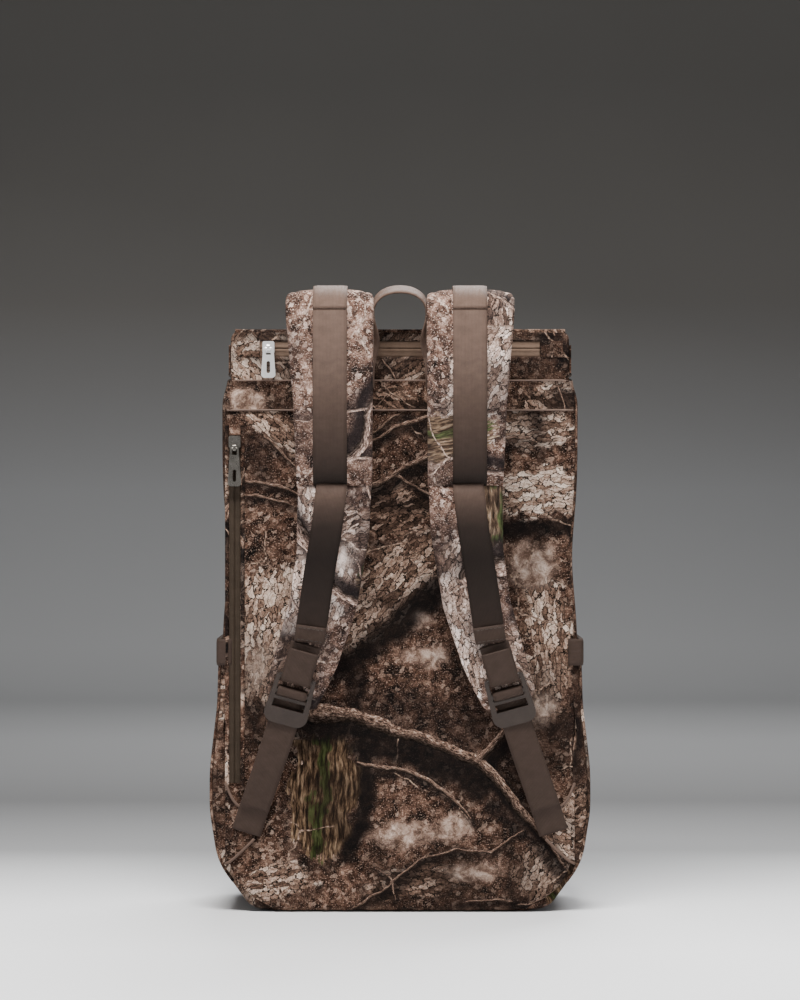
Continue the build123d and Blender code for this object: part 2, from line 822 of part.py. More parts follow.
def main():
    os.makedirs("parts", exist_ok=True)
    nodes = {}
    nodes.update(main_panels())
    nodes.update(inner_parts())
    nodes["rear_collar"] = rear_collar()
    nodes["mouth_skirt"] = mouth_skirt()
    nodes.update(lid_parts())
    nodes.update(closure_parts())
    nodes["front_pocket"] = front_pocket()
    nodes["right_pocket"] = bottle_pocket()
    nodes["left_pocket"] = mirrored(nodes["right_pocket"])
    band = pocket_band()
    nodes["pocket_bands"] = band + mirrored(band)
    nodes.update(zip_parts())
    nodes.update(slider_parts())
    nodes.update(handle_parts())
    strap = strap_parts()
    root = strap.pop("root")
    nodes["strap_roots"] = root + mirrored(root)
    strap.update(lock_parts())
    strap["adjuster_webbing"] = adjuster()
    for name, part in strap.items():
        nodes[f"right_{name}"] = part
        nodes[f"left_{name}"] = mirrored(part)
    wing, end = wing_parts()
    nodes["right_wing"] = wing
    nodes["left_wing"] = mirrored(wing)
    nodes["wing_webbings"] = end + mirrored(end)
    for name, part in sorted(nodes.items()):
        export_step(part, f"parts/{name}.step")
    print(len(nodes), "nodes")


main()
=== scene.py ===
import math

import bpy
import numpy as np
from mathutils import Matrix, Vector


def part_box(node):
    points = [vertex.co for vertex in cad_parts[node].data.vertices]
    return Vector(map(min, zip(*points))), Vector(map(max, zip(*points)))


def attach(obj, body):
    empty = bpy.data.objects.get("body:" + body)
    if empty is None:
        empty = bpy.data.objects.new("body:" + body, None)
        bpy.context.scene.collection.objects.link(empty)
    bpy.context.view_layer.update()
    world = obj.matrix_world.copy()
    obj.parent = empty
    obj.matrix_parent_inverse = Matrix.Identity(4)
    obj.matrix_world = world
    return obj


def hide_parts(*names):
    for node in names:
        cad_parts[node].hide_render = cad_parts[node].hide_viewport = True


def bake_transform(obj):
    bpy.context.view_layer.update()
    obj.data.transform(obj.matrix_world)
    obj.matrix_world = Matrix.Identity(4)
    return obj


# A camouflage flap-top rucksack, seen from its strap side. Lengths are in metres, in the frame of
# the CAD model; MM turns millimetres into them. Every soft CAD solid gets a fabric piece here.

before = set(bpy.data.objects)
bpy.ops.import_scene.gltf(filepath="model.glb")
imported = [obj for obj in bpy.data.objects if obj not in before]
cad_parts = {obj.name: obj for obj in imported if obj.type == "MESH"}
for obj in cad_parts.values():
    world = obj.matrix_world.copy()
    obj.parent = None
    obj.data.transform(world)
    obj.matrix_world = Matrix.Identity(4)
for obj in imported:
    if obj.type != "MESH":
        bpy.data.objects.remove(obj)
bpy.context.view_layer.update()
MM = 0.001

# ---------------------------------------------------------------- places read from the frame
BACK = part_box("back_panel")[0].y
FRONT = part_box("front_panel")[1].y
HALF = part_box("front_panel")[1].x
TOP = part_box("yoke_panel")[1].z
YOKE_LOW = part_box("yoke_panel")[0].z
COLLAR_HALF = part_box("rear_collar")[1].x
COLLAR_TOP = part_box("rear_collar")[1].z
LID_LOW, LID_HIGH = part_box("lid_shell")
LID_SIDE_LOW = 454 * MM
SIDE_CORNER = 56 * MM
BACK_SEAM = -66 * MM
FRONT_SEAM = 52 * MM
YOKE_TOP_LAP = TOP - 1.5 * MM
TOP_ZIP_Z = 477 * MM
SIDES = ((1, "right"), (-1, "left"))
TAPE_LOW, TAPE_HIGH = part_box("top_zip_tape")
SIDE_TAPE_LOW, SIDE_TAPE_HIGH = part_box("side_zip_tape")
FRONT_TAPE_LOW, FRONT_TAPE_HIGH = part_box("front_zip_tape")
POCKET_LOW, POCKET_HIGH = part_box("front_pocket")
BOTTLE_LOW, BOTTLE_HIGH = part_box("right_pocket")
BAND_LOW, BAND_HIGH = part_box("pocket_bands")
WEB = 1.6 * MM
WEB_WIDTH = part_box("right_tongue")[1].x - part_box("right_tongue")[0].x
TONGUE_X = (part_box("right_tongue")[1].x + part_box("right_tongue")[0].x) / 2
TONGUE_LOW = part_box("right_tongue")[0].z

# ---------------------------------------------------------------- numbers and small geometry
LATTICE_SEED = 7
LAYOUT_SEED = 21
LATTICE = np.random.default_rng(LATTICE_SEED).random((32, 32, 32))


def value_noise(points, size):
    """Smooth noise from -1 to 1 at each point, with bumps about `size` across."""
    q = np.asarray(points, float) / size + 50.0
    base = np.floor(q).astype(int)
    f = q - base
    f = f * f * (3 - 2 * f)
    total = np.zeros(len(q))
    for dx in (0, 1):
        for dy in (0, 1):
            for dz in (0, 1):
                weight = (
                    (f[:, 0] if dx else 1 - f[:, 0])
                    * (f[:, 1] if dy else 1 - f[:, 1])
                    * (f[:, 2] if dz else 1 - f[:, 2])
                )
                total += weight * LATTICE[
                    (base[:, 0] + dx) % 32, (base[:, 1] + dy) % 32, (base[:, 2] + dz) % 32
                ]
    return total * 2 - 1


def smooth(x, low, high):
    """0 below low, 1 above high, and smooth between them."""
    t = np.clip((np.asarray(x, float) - low) / (high - low), 0, 1)
    return t * t * (3 - 2 * t)


def bell(x, middle, width):
    return np.exp(-(((x - middle) / width) ** 2))


def unit(v):
    v = np.asarray(v, float)
    return v / np.maximum(np.linalg.norm(v, axis=-1, keepdims=True), 1e-12)


def rounded_path(points, radii, step=2 * MM):
    """Points along an open polyline whose inner corners are arcs."""
    points = [np.array(p, float) for p in points]
    out = [points[0]]
    for i, radius in enumerate(radii):
        before, here, after = points[i], points[i + 1], points[i + 2]
        d1, d2 = unit(here - before), unit(after - here)
        half_turn = math.acos(max(-1.0, min(1.0, float(d1 @ d2)))) / 2
        reach = radius * math.tan(half_turn)
        start, end = here - d1 * reach, here + d2 * reach
        inward = unit(d2 - d1)
        centre = here + inward * radius / math.cos(half_turn)
        count = max(3, int(2 * half_turn * radius / step) + 1)
        for k in range(count + 1):
            angle = half_turn * (2 * k / count - 1)
            along = unit(end - start)
            out.append(
                centre + radius * (math.sin(angle) * along - math.cos(angle) * inward)
            )
    out.append(points[-1])
    return np.array(out)


def lengths(path):
    """How far along its path each point is."""
    steps = np.linalg.norm(np.diff(path, axis=0), axis=1)
    return np.concatenate([[0], np.cumsum(steps)])


def resampled(path, count=None, step=None):
    """The path with its points evenly spaced."""
    s = lengths(path)
    count = count or max(2, int(round(s[-1] / step)) + 1)
    where = np.linspace(0, s[-1], count)
    return np.stack([np.interp(where, s, path[:, k]) for k in range(path.shape[1])], 1)


def tangents(path):
    return unit(np.gradient(path, axis=0))


def spread(*parts):
    """A grid of points or cloth places from rows, columns and grids that fit one shape."""
    return np.stack(np.broadcast_arrays(*parts), -1)


# ---------------------------------------------------------------- the printed pattern's layout
# Where limbs, bark and moss lie on the cloth is worked out point by point, in metres of cloth.
# The back panel shows the cloth from -0.15 to 0.15 across and from 0 to 0.45 up.
HAND_LIMBS = [
    # points in millimetres of cloth, then half-widths
    ([(-92, 176), (-74, 168), (-40, 166), (3, 151), (38, 140), (66, 127), (85, 107), (109, 77), (128, 54),
      (141, 36)],
     [9.0, 8.5, 7.0, 5.2, 4.8, 5.4, 5.0, 3.4, 2.0, 1.2]),
    ([(66, 128), (76, 138), (88, 152), (96, 162)], [4.6, 3.6, 3.0, 2.0]),
    ([(-35, 125), (-5, 121), (25, 112), (44, 97), (60, 79)], [1.6, 2.2, 2.3, 2.0, 1.2]),
    ([(-24, 404), (-8, 416), (2, 422)], [1.0, 1.3, 0.9]),
    ([(-24, 397), (-5, 409), (18, 415), (40, 428)], [1.6, 2.2, 1.9, 1.2]),
    ([(-40, 350), (-24, 359), (-5, 369), (21, 384), (34, 396)], [2.6, 3.0, 2.8, 2.6, 1.6]),
    ([(-5, 369), (21, 353), (32, 346)], [1.7, 1.4, 1.0]),
    ([(-140, 364), (-120, 363), (-104, 361), (-86, 352)], [1.4, 1.8, 1.9, 1.3]),
    ([(-140, 352), (-115, 351), (-89, 342)], [1.2, 1.7, 1.1]),
    ([(-112, 400), (-98, 386), (-86, 374)], [1.5, 1.7, 1.2]),
    ([(-40, 2), (-14, 18), (14, 42), (26, 50)], [1.3, 1.5, 1.3, 0.8]),
    ([(16, 44), (46, 52), (76, 50), (104, 70)], [0.9, 1.1, 1.3, 0.8]),
    ([(-24, 38), (-6, 26), (-4, 10)], [0.8, 1.1, 0.8]),
    ([(48, 8), (82, 10), (112, 6), (136, 20)], [0.9, 1.2, 1.0, 0.7]),
    ([(88, 400), (104, 400), (116, 397)], [0.9, 1.0, 0.8]),
]
HAND_PATCHES = [
    # middle, half-sizes along and across the grain in millimetres, its angle, lightness, moss
    ((-14, 273), (78, 27), 42, 0.66, 0.0),
    ((-110, 240), (58, 30), 80, 0.85, 0.0),
    ((117, 354), (42, 21), 8, 0.95, 0.0),
    ((112, 408), (36, 15), 2, 0.80, 0.0),
    ((-64, 100), (53, 29), 88, 0.45, 1.0),
    ((-108, 412), (32, 14), -40, 0.70, 0.0),
    ((0, 340), (34, 22), 20, 0.35, 0.0),
    ((-98, 178), (40, 24), 100, 0.62, 0.0),
    ((124, 226), (62, 20), 95, 0.80, 0.0),
    ((-104, 24), (34, 16), 10, 0.70, 0.0),
    ((120, 34), (26, 22), 60, 0.72, 0.0),
    ((14, 24), (40, 14), 8, 0.50, 0.0),
]
HAND_SHADOWS = [
    # points in millimetres of cloth, half-width, strength: soft dark places
    ([(30, 272), (-6, 240), (-50, 206)], 15, 1.0),
    ([(18, 258), (26, 262)], 15, 1.0),
    ([(-37, 204), (-36, 172)], 12, 0.85),
    ([(-20, 168), (18, 168), (56, 158)], 24, 0.55),
    ([(-34, 140), (4, 133), (36, 121), (66, 104)], 13, 1.0),
    ([(78, 90), (108, 66), (140, 30)], 9, 0.85),
    ([(-31, 148), (-29, 78), (-44, 50)], 8, 1.0),
    ([(-90, 149), (-36, 150)], 5, 0.9),
    ([(84, 323), (148, 325)], 9, 0.95),
    ([(-122, 396), (-116, 372)], 13, 0.62),
    ([(112, 420), (121, 382)], 6, 0.6),
    ([(88, 391), (130, 399)], 4, 0.55),
    ([(6, 412), (24, 404)], 10, 0.75),
    ([(-24, 346), (24, 342)], 7, 0.5),
    ([(60, 200), (96, 180)], 18, 0.4),
    ([(-4, 20), (8, 34)], 9, 0.7),
    ([(92, 206), (98, 120)], 12, 0.5),
]
HAND_GLOWS = [
    # middle, half-sizes in millimetres: pale, washed places
    ((46, 71), (19, 12)),
    ((4, 66), (30, 13)),
    ((110, 294), (25, 20)),
    ((18, 246), (13, 10)),
    ((62, 34), (26, 10)),
    ((-120, 208), (12, 22)),
    ((20, 214), (22, 10)),
    ((116, 170), (18, 16)),
]


def cloth_layout():
    """All limbs and patches of the cloth: the listed ones, and seeded ones around them."""
    rng = np.random.default_rng(LAYOUT_SEED)
    limbs = [(np.array(p, float) * MM, np.array(w, float) * MM) for p, w in HAND_LIMBS]
    patches = [
        (np.array(c, float) * MM, np.array(r, float) * MM, math.radians(a), light, moss)
        for c, r, a, light, moss in HAND_PATCHES
    ]
    for _ in range(480):
        start = rng.uniform((-1.4, -0.9), (1.4, 1.3))
        heading = rng.uniform(0, 2 * math.pi)
        thick = rng.choice([1.3, 1.8, 2.4, 5.0, 7.0], p=[0.3, 0.25, 0.2, 0.15, 0.1]) * MM
        reach = rng.uniform(60, 150) * MM
        count = 7
        points = [start]
        for _ in range(count - 1):
            heading += rng.normal(0, 0.28)
            step = reach / (count - 1)
            points.append(points[-1] + step * np.array([math.cos(heading), math.sin(heading)]))
        taper = np.linspace(1, 0.45, count) * rng.uniform(0.8, 1.15, count)
        points = np.array(points)
        if np.any((np.abs(points[:, 0]) < 0.16) & (points[:, 1] > -0.01) & (points[:, 1] < 0.46)):
            continue
        limbs.append((points, thick * taper))
    for _ in range(520):
        middle = rng.uniform((-1.4, -0.9), (1.4, 1.3))
        size = rng.uniform((26, 16), (78, 36)) * MM
        angle = rng.uniform(0, math.pi)
        light = rng.uniform(0.25, 0.95)
        moss = float(rng.random() < 0.12)
        if abs(middle[0]) < 0.19 and -0.04 < middle[1] < 0.49:
            continue
        patches.append((middle, size, angle, light, moss))
    shadows = [(np.array(p, float) * MM, w * MM, k) for p, w, k in HAND_SHADOWS]
    glows = [(np.array(c, float) * MM, np.array(r, float) * MM) for c, r in HAND_GLOWS]
    for _ in range(420):
        start = rng.uniform((-1.4, -0.9), (1.4, 1.3))
        turn = rng.uniform(0, 2 * math.pi)
        end = start + rng.uniform(10, 60) * MM * np.array([math.cos(turn), math.sin(turn)])
        width, strength = rng.uniform(5, 17) * MM, rng.uniform(0.4, 1.0)
        size = rng.uniform((10, 8), (28, 18)) * MM
        if abs(start[0]) < 0.18 and -0.03 < start[1] < 0.48:
            continue
        shadows.append((np.array([start, end]), width, strength))
        glows.append((start + rng.uniform(-0.09, 0.09, 2), size))
    return limbs, patches, shadows, glows


LIMBS, PATCHES, SHADOWS, GLOWS = cloth_layout()
SHADOW_SHIFT = np.array([5.0, -9.0]) * MM


def to_polyline(uv, points, widths):
    """Signed distance over half-width, half-width and length along, to the nearest run."""
    best = np.full(len(uv), 1e9)
    side = np.zeros(len(uv))
    width = np.full(len(uv), widths[0])
    along = np.zeros(len(uv))
    travelled = 0.0
    for a, b, wa, wb in zip(points[:-1], points[1:], widths[:-1], widths[1:]):
        d = b - a
        length = float(np.linalg.norm(d))
        t = np.clip(((uv - a) @ d) / length**2, 0, 1)
        off = uv - (a + t[:, None] * d)
        distance = np.linalg.norm(off, axis=1)
        w = wa + (wb - wa) * t
        nearer = distance - w < best
        cross = (d[0] * off[:, 1] - d[1] * off[:, 0]) / length
        if d[0] < 0:
            cross = -cross
        best = np.where(nearer, distance - w, best)
        side = np.where(nearer, np.sign(cross) * distance / w, side)
        width = np.where(nearer, w, width)
        along = np.where(nearer, travelled + t * length, along)
        travelled += length
    return best, side, width, along


def write_vector(mesh, name, values):
    attribute = mesh.attributes.new(name, "FLOAT_VECTOR", "POINT")
    attribute.data.foreach_set("vector", np.asarray(values, np.float32).ravel())


def paint_cloth(mesh, cloth):
    """Stores each point's place on the cloth, and what is printed near it."""
    uv = np.asarray(cloth, float).reshape(-1, 2)
    count = len(uv)
    warp = np.column_stack([uv, np.zeros(count)])
    wobble = np.column_stack(
        [
            value_noise(warp, 16 * MM) + 0.5 * value_noise(warp + 3.3, 6 * MM),
            value_noise(warp + 9.1, 16 * MM) + 0.5 * value_noise(warp + 5.7, 6 * MM),
        ]
    )
    bent = uv + wobble * 1.6 * MM
    margin = 0.05
    low, high = uv.min(0) - margin, uv.max(0) + margin
    inside = np.full(count, -1.0)
    side = np.zeros(count)
    along = np.zeros(count)
    shade = np.zeros(count)
    for points, widths in LIMBS:
        if np.any(points.max(0) < low) or np.any(points.min(0) > high):
            continue
        gap, s, _, a = to_polyline(bent, points, widths)
        value = np.clip(-gap / (2.5 * MM), -1, 2)
        top = value > np.maximum(inside, 0)
        near = (inside <= 0) & (value > inside)
        pick = top | near
        inside = np.where(pick, value, inside)
        side = np.where(pick, s, side)
        along = np.where(pick, a, along)
        gap2, _, w2, _ = to_polyline(bent - SHADOW_SHIFT * min(1, widths.max() / (5 * MM)), points, widths)
        soft = 1 - np.clip(gap2 / (1.2 * w2 + 3 * MM), 0, 1)
        shade = np.maximum(shade, soft * min(1.0, 0.55 + widths.max() / (9 * MM)))
    bark = np.full(count, -1.0)
    light = np.full(count, 0.5)
    moss = np.zeros(count)
    grain = bent.copy()
    for middle, size, angle, lightness, mossy in PATCHES:
        if np.any(middle + size.max() < low) or np.any(middle - size.max() > high):
            continue
        d = bent - middle + wobble * 5 * MM
        p = d[:, 0] * math.cos(angle) + d[:, 1] * math.sin(angle)
        q = -d[:, 0] * math.sin(angle) + d[:, 1] * math.cos(angle)
        r = (np.abs(p / size[0]) ** 2.6 + np.abs(q / size[1]) ** 2.6) ** (1 / 2.6)
        value = (1 - r) * min(size) / (12 * MM)
        pick = value > bark
        bark = np.where(pick, value, bark)
        light = np.where(pick & (value > -0.3), lightness, light)
        moss = np.where(pick, mossy * (0.5 + 0.5 * bell(q / size[1], 0.08, 0.30)), moss)
        d = uv - middle + wobble * 1.0 * MM
        along_grain = d[:, 0] * math.cos(angle) + d[:, 1] * math.sin(angle)
        over_grain = -d[:, 0] * math.sin(angle) + d[:, 1] * math.cos(angle)
        grain = np.where(pick[:, None], np.column_stack([along_grain, over_grain]) + middle, grain)
        rim = np.clip(1 - np.abs(r - 1.12) / 0.22, 0, 1) * (d[:, 1] < 0)
        shade = np.maximum(shade, 0.55 * rim * (value < 0))
    for points, width, strength in SHADOWS:
        if np.any(points.max(0) < low) or np.any(points.min(0) > high):
            continue
        gap, _, _, _ = to_polyline(uv + wobble * 3 * MM, points, np.full(len(points), 0.35 * width))
        shade = np.maximum(shade, strength * (1 - smooth(gap, 0, width)))
    glow = np.zeros(count)
    for middle, size in GLOWS:
        if np.any(middle + size < low) or np.any(middle - size > high):
            continue
        r = np.linalg.norm((uv + wobble * 4 * MM - middle) / size, axis=1)
        glow = np.maximum(glow, 1 - smooth(r, 0.35, 1.2))
    write_vector(mesh, "cloth", np.column_stack([uv, light]))
    write_vector(mesh, "limb", np.column_stack([inside, side, along]))
    write_vector(mesh, "marks", np.column_stack([bark, shade, moss]))
    write_vector(mesh, "grain", np.column_stack([grain, glow]))


# ---------------------------------------------------------------- meshes
def link_mesh(name, verts, faces, cloth=None, material=None, printed=False, dark=None):
    """A mesh object with its place on the cloth stored at each point, and the painted shade it takes at
    heights.
    """
    mesh = bpy.data.meshes.new(name)
    verts = np.array(verts, float)
    if cloth is not None:
        verts[:, 2] = np.maximum(verts[:, 2], 0.3 * MM)
    mesh.from_pydata(verts.tolist(), [], [list(map(int, f)) for f in faces])
    mesh.update()
    if cloth is not None:
        if printed:
            paint_cloth(mesh, cloth)
        else:
            flat = np.asarray(cloth, float).reshape(-1, 2)
            heights = np.asarray(verts, float)[:, 2] / MM
            # painted shade at each point's height, from the piece's table
            depth = np.interp(heights, *np.transpose(dark)) if dark else np.zeros(len(flat))
            write_vector(mesh, "cloth", np.column_stack([flat, depth]))
    for polygon in mesh.polygons:
        polygon.use_smooth = True
    obj = bpy.data.objects.new(name, mesh)
    bpy.context.scene.collection.objects.link(obj)
    if material:
        obj.data.materials.append(material)
    return obj


def grid_faces(rows, cols, wrap=False, start=0):
    r, c = np.meshgrid(np.arange(rows - 1), np.arange(cols if wrap else cols - 1), indexing="ij")
    r, c = r.ravel(), c.ravel()
    n = (c + 1) % cols
    return np.stack([r * cols + c, r * cols + n, (r + 1) * cols + n, (r + 1) * cols + c], 1) + start


def sheet_piece(name, points, cloth, material, thickness=0.0, printed=True, flip=False):
    """A grid of points as one sheet of fabric, with a thickness where its edge shows."""
    rows, cols = points.shape[:2]
    faces = grid_faces(rows, cols)
    if flip:
        faces = faces[:, ::-1]
    obj = link_mesh(name, points.reshape(-1, 3), faces, cloth, material, printed)
    if thickness:
        solid = obj.modifiers.new("thickness", "SOLIDIFY")
        solid.thickness = thickness
        solid.offset = -1
    return obj


def closed_piece(name, rings, cloth, material, printed=True, dark=None):
    """Rings of points, closed round and capped at both ends."""
    rows, cols = rings.shape[:2]
    faces = grid_faces(rows, cols, wrap=True).tolist()
    faces.append(list(range(cols))[::-1])
    faces.append([(rows - 1) * cols + k for k in range(cols)])
    return link_mesh(name, rings.reshape(-1, 3), faces, cloth, material, printed, dark)


def band_rings(centre, across, width, thick, columns=9):
    """Rings of a flat webbing along a centre line; `across` points to its side."""
    t = tangents(centre)
    across = unit(across - t * np.sum(across * t, axis=1, keepdims=True))
    normal = np.cross(across, t)
    width = np.broadcast_to(width, (len(centre),))
    a = np.linspace(-1, 1, columns)
    high = [(x, 0.5 * (1 - 0.55 * abs(x) ** 12)) for x in a]
    profile = np.array(high + [(x, -h) for x, h in high[::-1]])
    rings = (
        centre[:, None]
        + across[:, None] * (profile[None, :, 0] * width[:, None] / 2)[..., None]
        + normal[:, None] * (profile[None, :, 1] * thick)[..., None]
    )
    s = lengths(centre)
    cloth = spread(profile[None, :, 0] * width[:, None] / 2, s[:, None])
    return rings, cloth


def band_piece(name, centre, across, width, thick, material, step=2.5 * MM, dark=None):
    """A length of webbing. The centre line is resampled before it is built."""
    centre = np.asarray(centre, float)
    across = np.broadcast_to(np.asarray(across, float), centre.shape)
    both = resampled(np.column_stack([centre, across]), step=step)
    rings, cloth = band_rings(both[:, :3], both[:, 3:], width, thick)
    return closed_piece(name, rings, cloth, material, printed=False, dark=dark)


def tube_rings(path, radius, sides=8, reference=(0.0, 0.0, 1.0)):
    t = tangents(path)
    ref = np.broadcast_to(np.asarray(reference, float), path.shape)
    side = unit(np.cross(t, ref) + 1e-9)
    up = np.cross(side, t)
    angle = np.linspace(0, 2 * math.pi, sides, endpoint=False)
    radius = np.broadcast_to(radius, (len(path),))
    ring = side[:, None] * np.cos(angle)[None, :, None] + up[:, None] * np.sin(angle)[None, :, None]
    return path[:, None] + ring * radius[:, None, None]


def tube_piece(
    name, path, radius, material, cloth_at=(0.0, 0.0), reference=(0.0, 0.0, 1.0), printed=True, sides=8
):
    """Piping or cord-like trim along a path."""
    rings = tube_rings(path, radius, sides, reference)
    s = lengths(path)
    turn = np.linspace(0, 2 * math.pi * float(np.mean(radius)), sides)
    cloth = spread(turn[None] + cloth_at[0], s[:, None] + cloth_at[1])
    return closed_piece(name, rings, cloth, material, printed)


STITCH_LONG = 2.6 * MM
STITCH_PITCH = 3.6 * MM
STITCH_WIDE = 0.55 * MM


def stitch_piece(name, routes, material):
    """Rows of thread stitches. Each route is (path, direction away from the cloth)."""
    verts, faces = [], []
    ring = np.linspace(0, 2 * math.pi, 5, endpoint=False)
    for path, away in routes:
        path = np.asarray(path, float)
        total = lengths(path)[-1]
        count = max(1, int(total / STITCH_PITCH))
        even = resampled(path, count=2 * count + 1)
        t = tangents(even)[1::2]
        middle = even[1::2]
        away = unit(np.broadcast_to(np.asarray(away, float), middle.shape))
        side = unit(np.cross(t, away))
        for m, d, n, s in zip(middle, t, away, side):
            base = len(verts)
            for along, size in ((-0.5, 0.35), (-0.25, 1.0), (0.25, 1.0), (0.5, 0.35)):
                lift = 0.25 * MM * (1 - (2 * along) ** 2)
                for angle in ring:
                    verts.append(
                        m + d * along * STITCH_LONG
                        + s * math.cos(angle) * size * STITCH_WIDE / 2
                        + n * (math.sin(angle) * size * STITCH_WIDE / 2 + lift)
                    )
            for k in range(3):
                for j in range(5):
                    a, b = base + 5 * k + j, base + 5 * k + (j + 1) % 5
                    faces.append([a, b, b + 5, a + 5])
            faces.append([base + j for j in range(5)][::-1])
            faces.append([base + 15 + j for j in range(5)])
    cloth = np.zeros((len(verts), 2))
    return link_mesh(name, verts, faces, cloth, material)


def place(obj, body, slot, *nodes):
    """Lets a piece ride on a body and stand for CAD nodes."""
    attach(obj, body)
    if nodes:
        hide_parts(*nodes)
    return obj


def on_bag(obj, *nodes):
    """Sews a piece of the printed fabric to the bag."""
    return place(obj, "bag", "camo_fabric", *nodes)


def once(side, name):
    """The CAD node that a right and a left piece stand for together: the right one names it."""
    return (name,) if side > 0 else ()


def place_blend(obj, a, b, start, end, slot, *nodes):
    """Fixes a piece where it stands, baking its place into the mesh, and hides the CAD nodes it stands for.
    """
    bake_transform(obj)
    if nodes:
        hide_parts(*nodes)
    return obj


# ---------------------------------------------------------------- materials
class Graph:
    """Short ways to add shader nodes to a material."""

    def __init__(self, name):
        self.material = bpy.data.materials.new(name)
        self.material.use_nodes = True
        self.tree = self.material.node_tree
        self.tree.nodes.clear()
        self.output = self.tree.nodes.new("ShaderNodeOutputMaterial")
        self.shader = self.tree.nodes.new("ShaderNodeBsdfPrincipled")
        self.tree.links.new(self.shader.outputs[0], self.output.inputs[0])

    def set(self, socket, value):
        if isinstance(value, bpy.types.NodeSocket):
            self.tree.links.new(value, socket)
        elif isinstance(value, tuple) and len(value) == 3 and socket.type == "RGBA":
            socket.default_value = (*value, 1.0)
        else:
            socket.default_value = value

    def math(self, operation, a, b=0.0, c=0.0, clamp=False):
        node = self.tree.nodes.new("ShaderNodeMath")
        node.operation = operation
        node.use_clamp = clamp
        for socket, value in zip(node.inputs, (a, b, c)):
            self.set(socket, value)
        return node.outputs[0]

    def add(self, a, b):
        return self.math("ADD", a, b)

    def sub(self, a, b):
        return self.math("SUBTRACT", a, b)

    def mul(self, a, b):
        return self.math("MULTIPLY", a, b)

    def mix(self, factor, a, b, blend="MIX"):
        node = self.tree.nodes.new("ShaderNodeMix")
        node.data_type = "RGBA"
        node.blend_type = blend
        self.set(node.inputs[0], factor)
        self.set(node.inputs[6], a)
        self.set(node.inputs[7], b)
        return node.outputs[2]

    def ramp(self, value, stops, smooth_steps=False):
        node = self.tree.nodes.new("ShaderNodeValToRGB")
        elements = node.color_ramp.elements
        if smooth_steps:
            node.color_ramp.interpolation = "EASE"
        while len(elements) < len(stops):
            elements.new(0.5)
        for element, (position, colour) in zip(elements, stops):
            element.position = position
            element.color = (*colour, 1.0) if isinstance(colour, tuple) else (colour,) * 3 + (1.0,)
        self.set(node.inputs[0], value)
        return node.outputs[0]

    def attribute(self, name):
        node = self.tree.nodes.new("ShaderNodeAttribute")
        node.attribute_name = name
        return node.outputs["Vector"]

    def split(self, vector):
        node = self.tree.nodes.new("ShaderNodeSeparateXYZ")
        self.set(node.inputs[0], vector)
        return node.outputs[0], node.outputs[1], node.outputs[2]

    def join(self, x, y, z=0.0):
        node = self.tree.nodes.new("ShaderNodeCombineXYZ")
        for socket, value in zip(node.inputs, (x, y, z)):
            self.set(socket, value)
        return node.outputs[0]

    def vector(self, operation, a, b=(0.0, 0.0, 0.0), scale=None):
        node = self.tree.nodes.new("ShaderNodeVectorMath")
        node.operation = operation
        self.set(node.inputs[0], a)
        self.set(node.inputs[1], b)
        if scale is not None:
            self.set(node.inputs["Scale"], scale)
        return node.outputs[0]

    def noise(self, vector, scale, detail=3.0, rough=0.55, distort=0.0, colour=False):
        node = self.tree.nodes.new("ShaderNodeTexNoise")
        self.set(node.inputs["Vector"], vector)
        node.inputs["Scale"].default_value = scale
        node.inputs["Detail"].default_value = detail
        node.inputs["Roughness"].default_value = rough
        node.inputs["Distortion"].default_value = distort
        return node.outputs[1 if colour else 0]

    def voronoi(self, vector, scale, feature="F1", output="Distance", random=1.0):
        node = self.tree.nodes.new("ShaderNodeTexVoronoi")
        node.voronoi_dimensions = "2D"
        node.feature = feature
        self.set(node.inputs["Vector"], vector)
        node.inputs["Scale"].default_value = scale
        node.inputs["Randomness"].default_value = random
        return node.outputs[output]

    def step(self, value, low, high):
        node = self.tree.nodes.new("ShaderNodeMapRange")
        node.interpolation_type = "SMOOTHSTEP"
        self.set(node.inputs[0], value)
        node.inputs[1].default_value = low
        node.inputs[2].default_value = high
        return node.outputs[0]

    def bump(self, height, distance, strength=1.0, normal=None):
        node = self.tree.nodes.new("ShaderNodeBump")
        node.inputs["Strength"].default_value = strength
        node.inputs["Distance"].default_value = distance
        self.set(node.inputs["Height"], height)
        if normal is not None:
            self.set(node.inputs["Normal"], normal)
        return node.outputs[0]

    def shade(self, colour, roughness, normal=None, metal=0.0, sheen=0.0, gloss=0.5):
        self.set(self.shader.inputs["Base Color"], colour)
        self.set(self.shader.inputs["Roughness"], roughness)
        self.shader.inputs["Metallic"].default_value = metal
        self.shader.inputs["Sheen Weight"].default_value = sheen
        self.shader.inputs["Sheen Roughness"].default_value = 0.5
        self.shader.inputs["Specular IOR Level"].default_value = gloss
        if normal is not None:
            self.set(self.shader.inputs["Normal"], normal)
        return self.material


def weave_height(g, u, v, pitch):
    """The height of a plain weave whose threads are `pitch` apart."""
    turns = 2 * math.pi / pitch
    across = g.math("SINE", g.mul(u, turns))
    along = g.math("SINE", g.mul(v, turns))
    return g.mul(across, along)


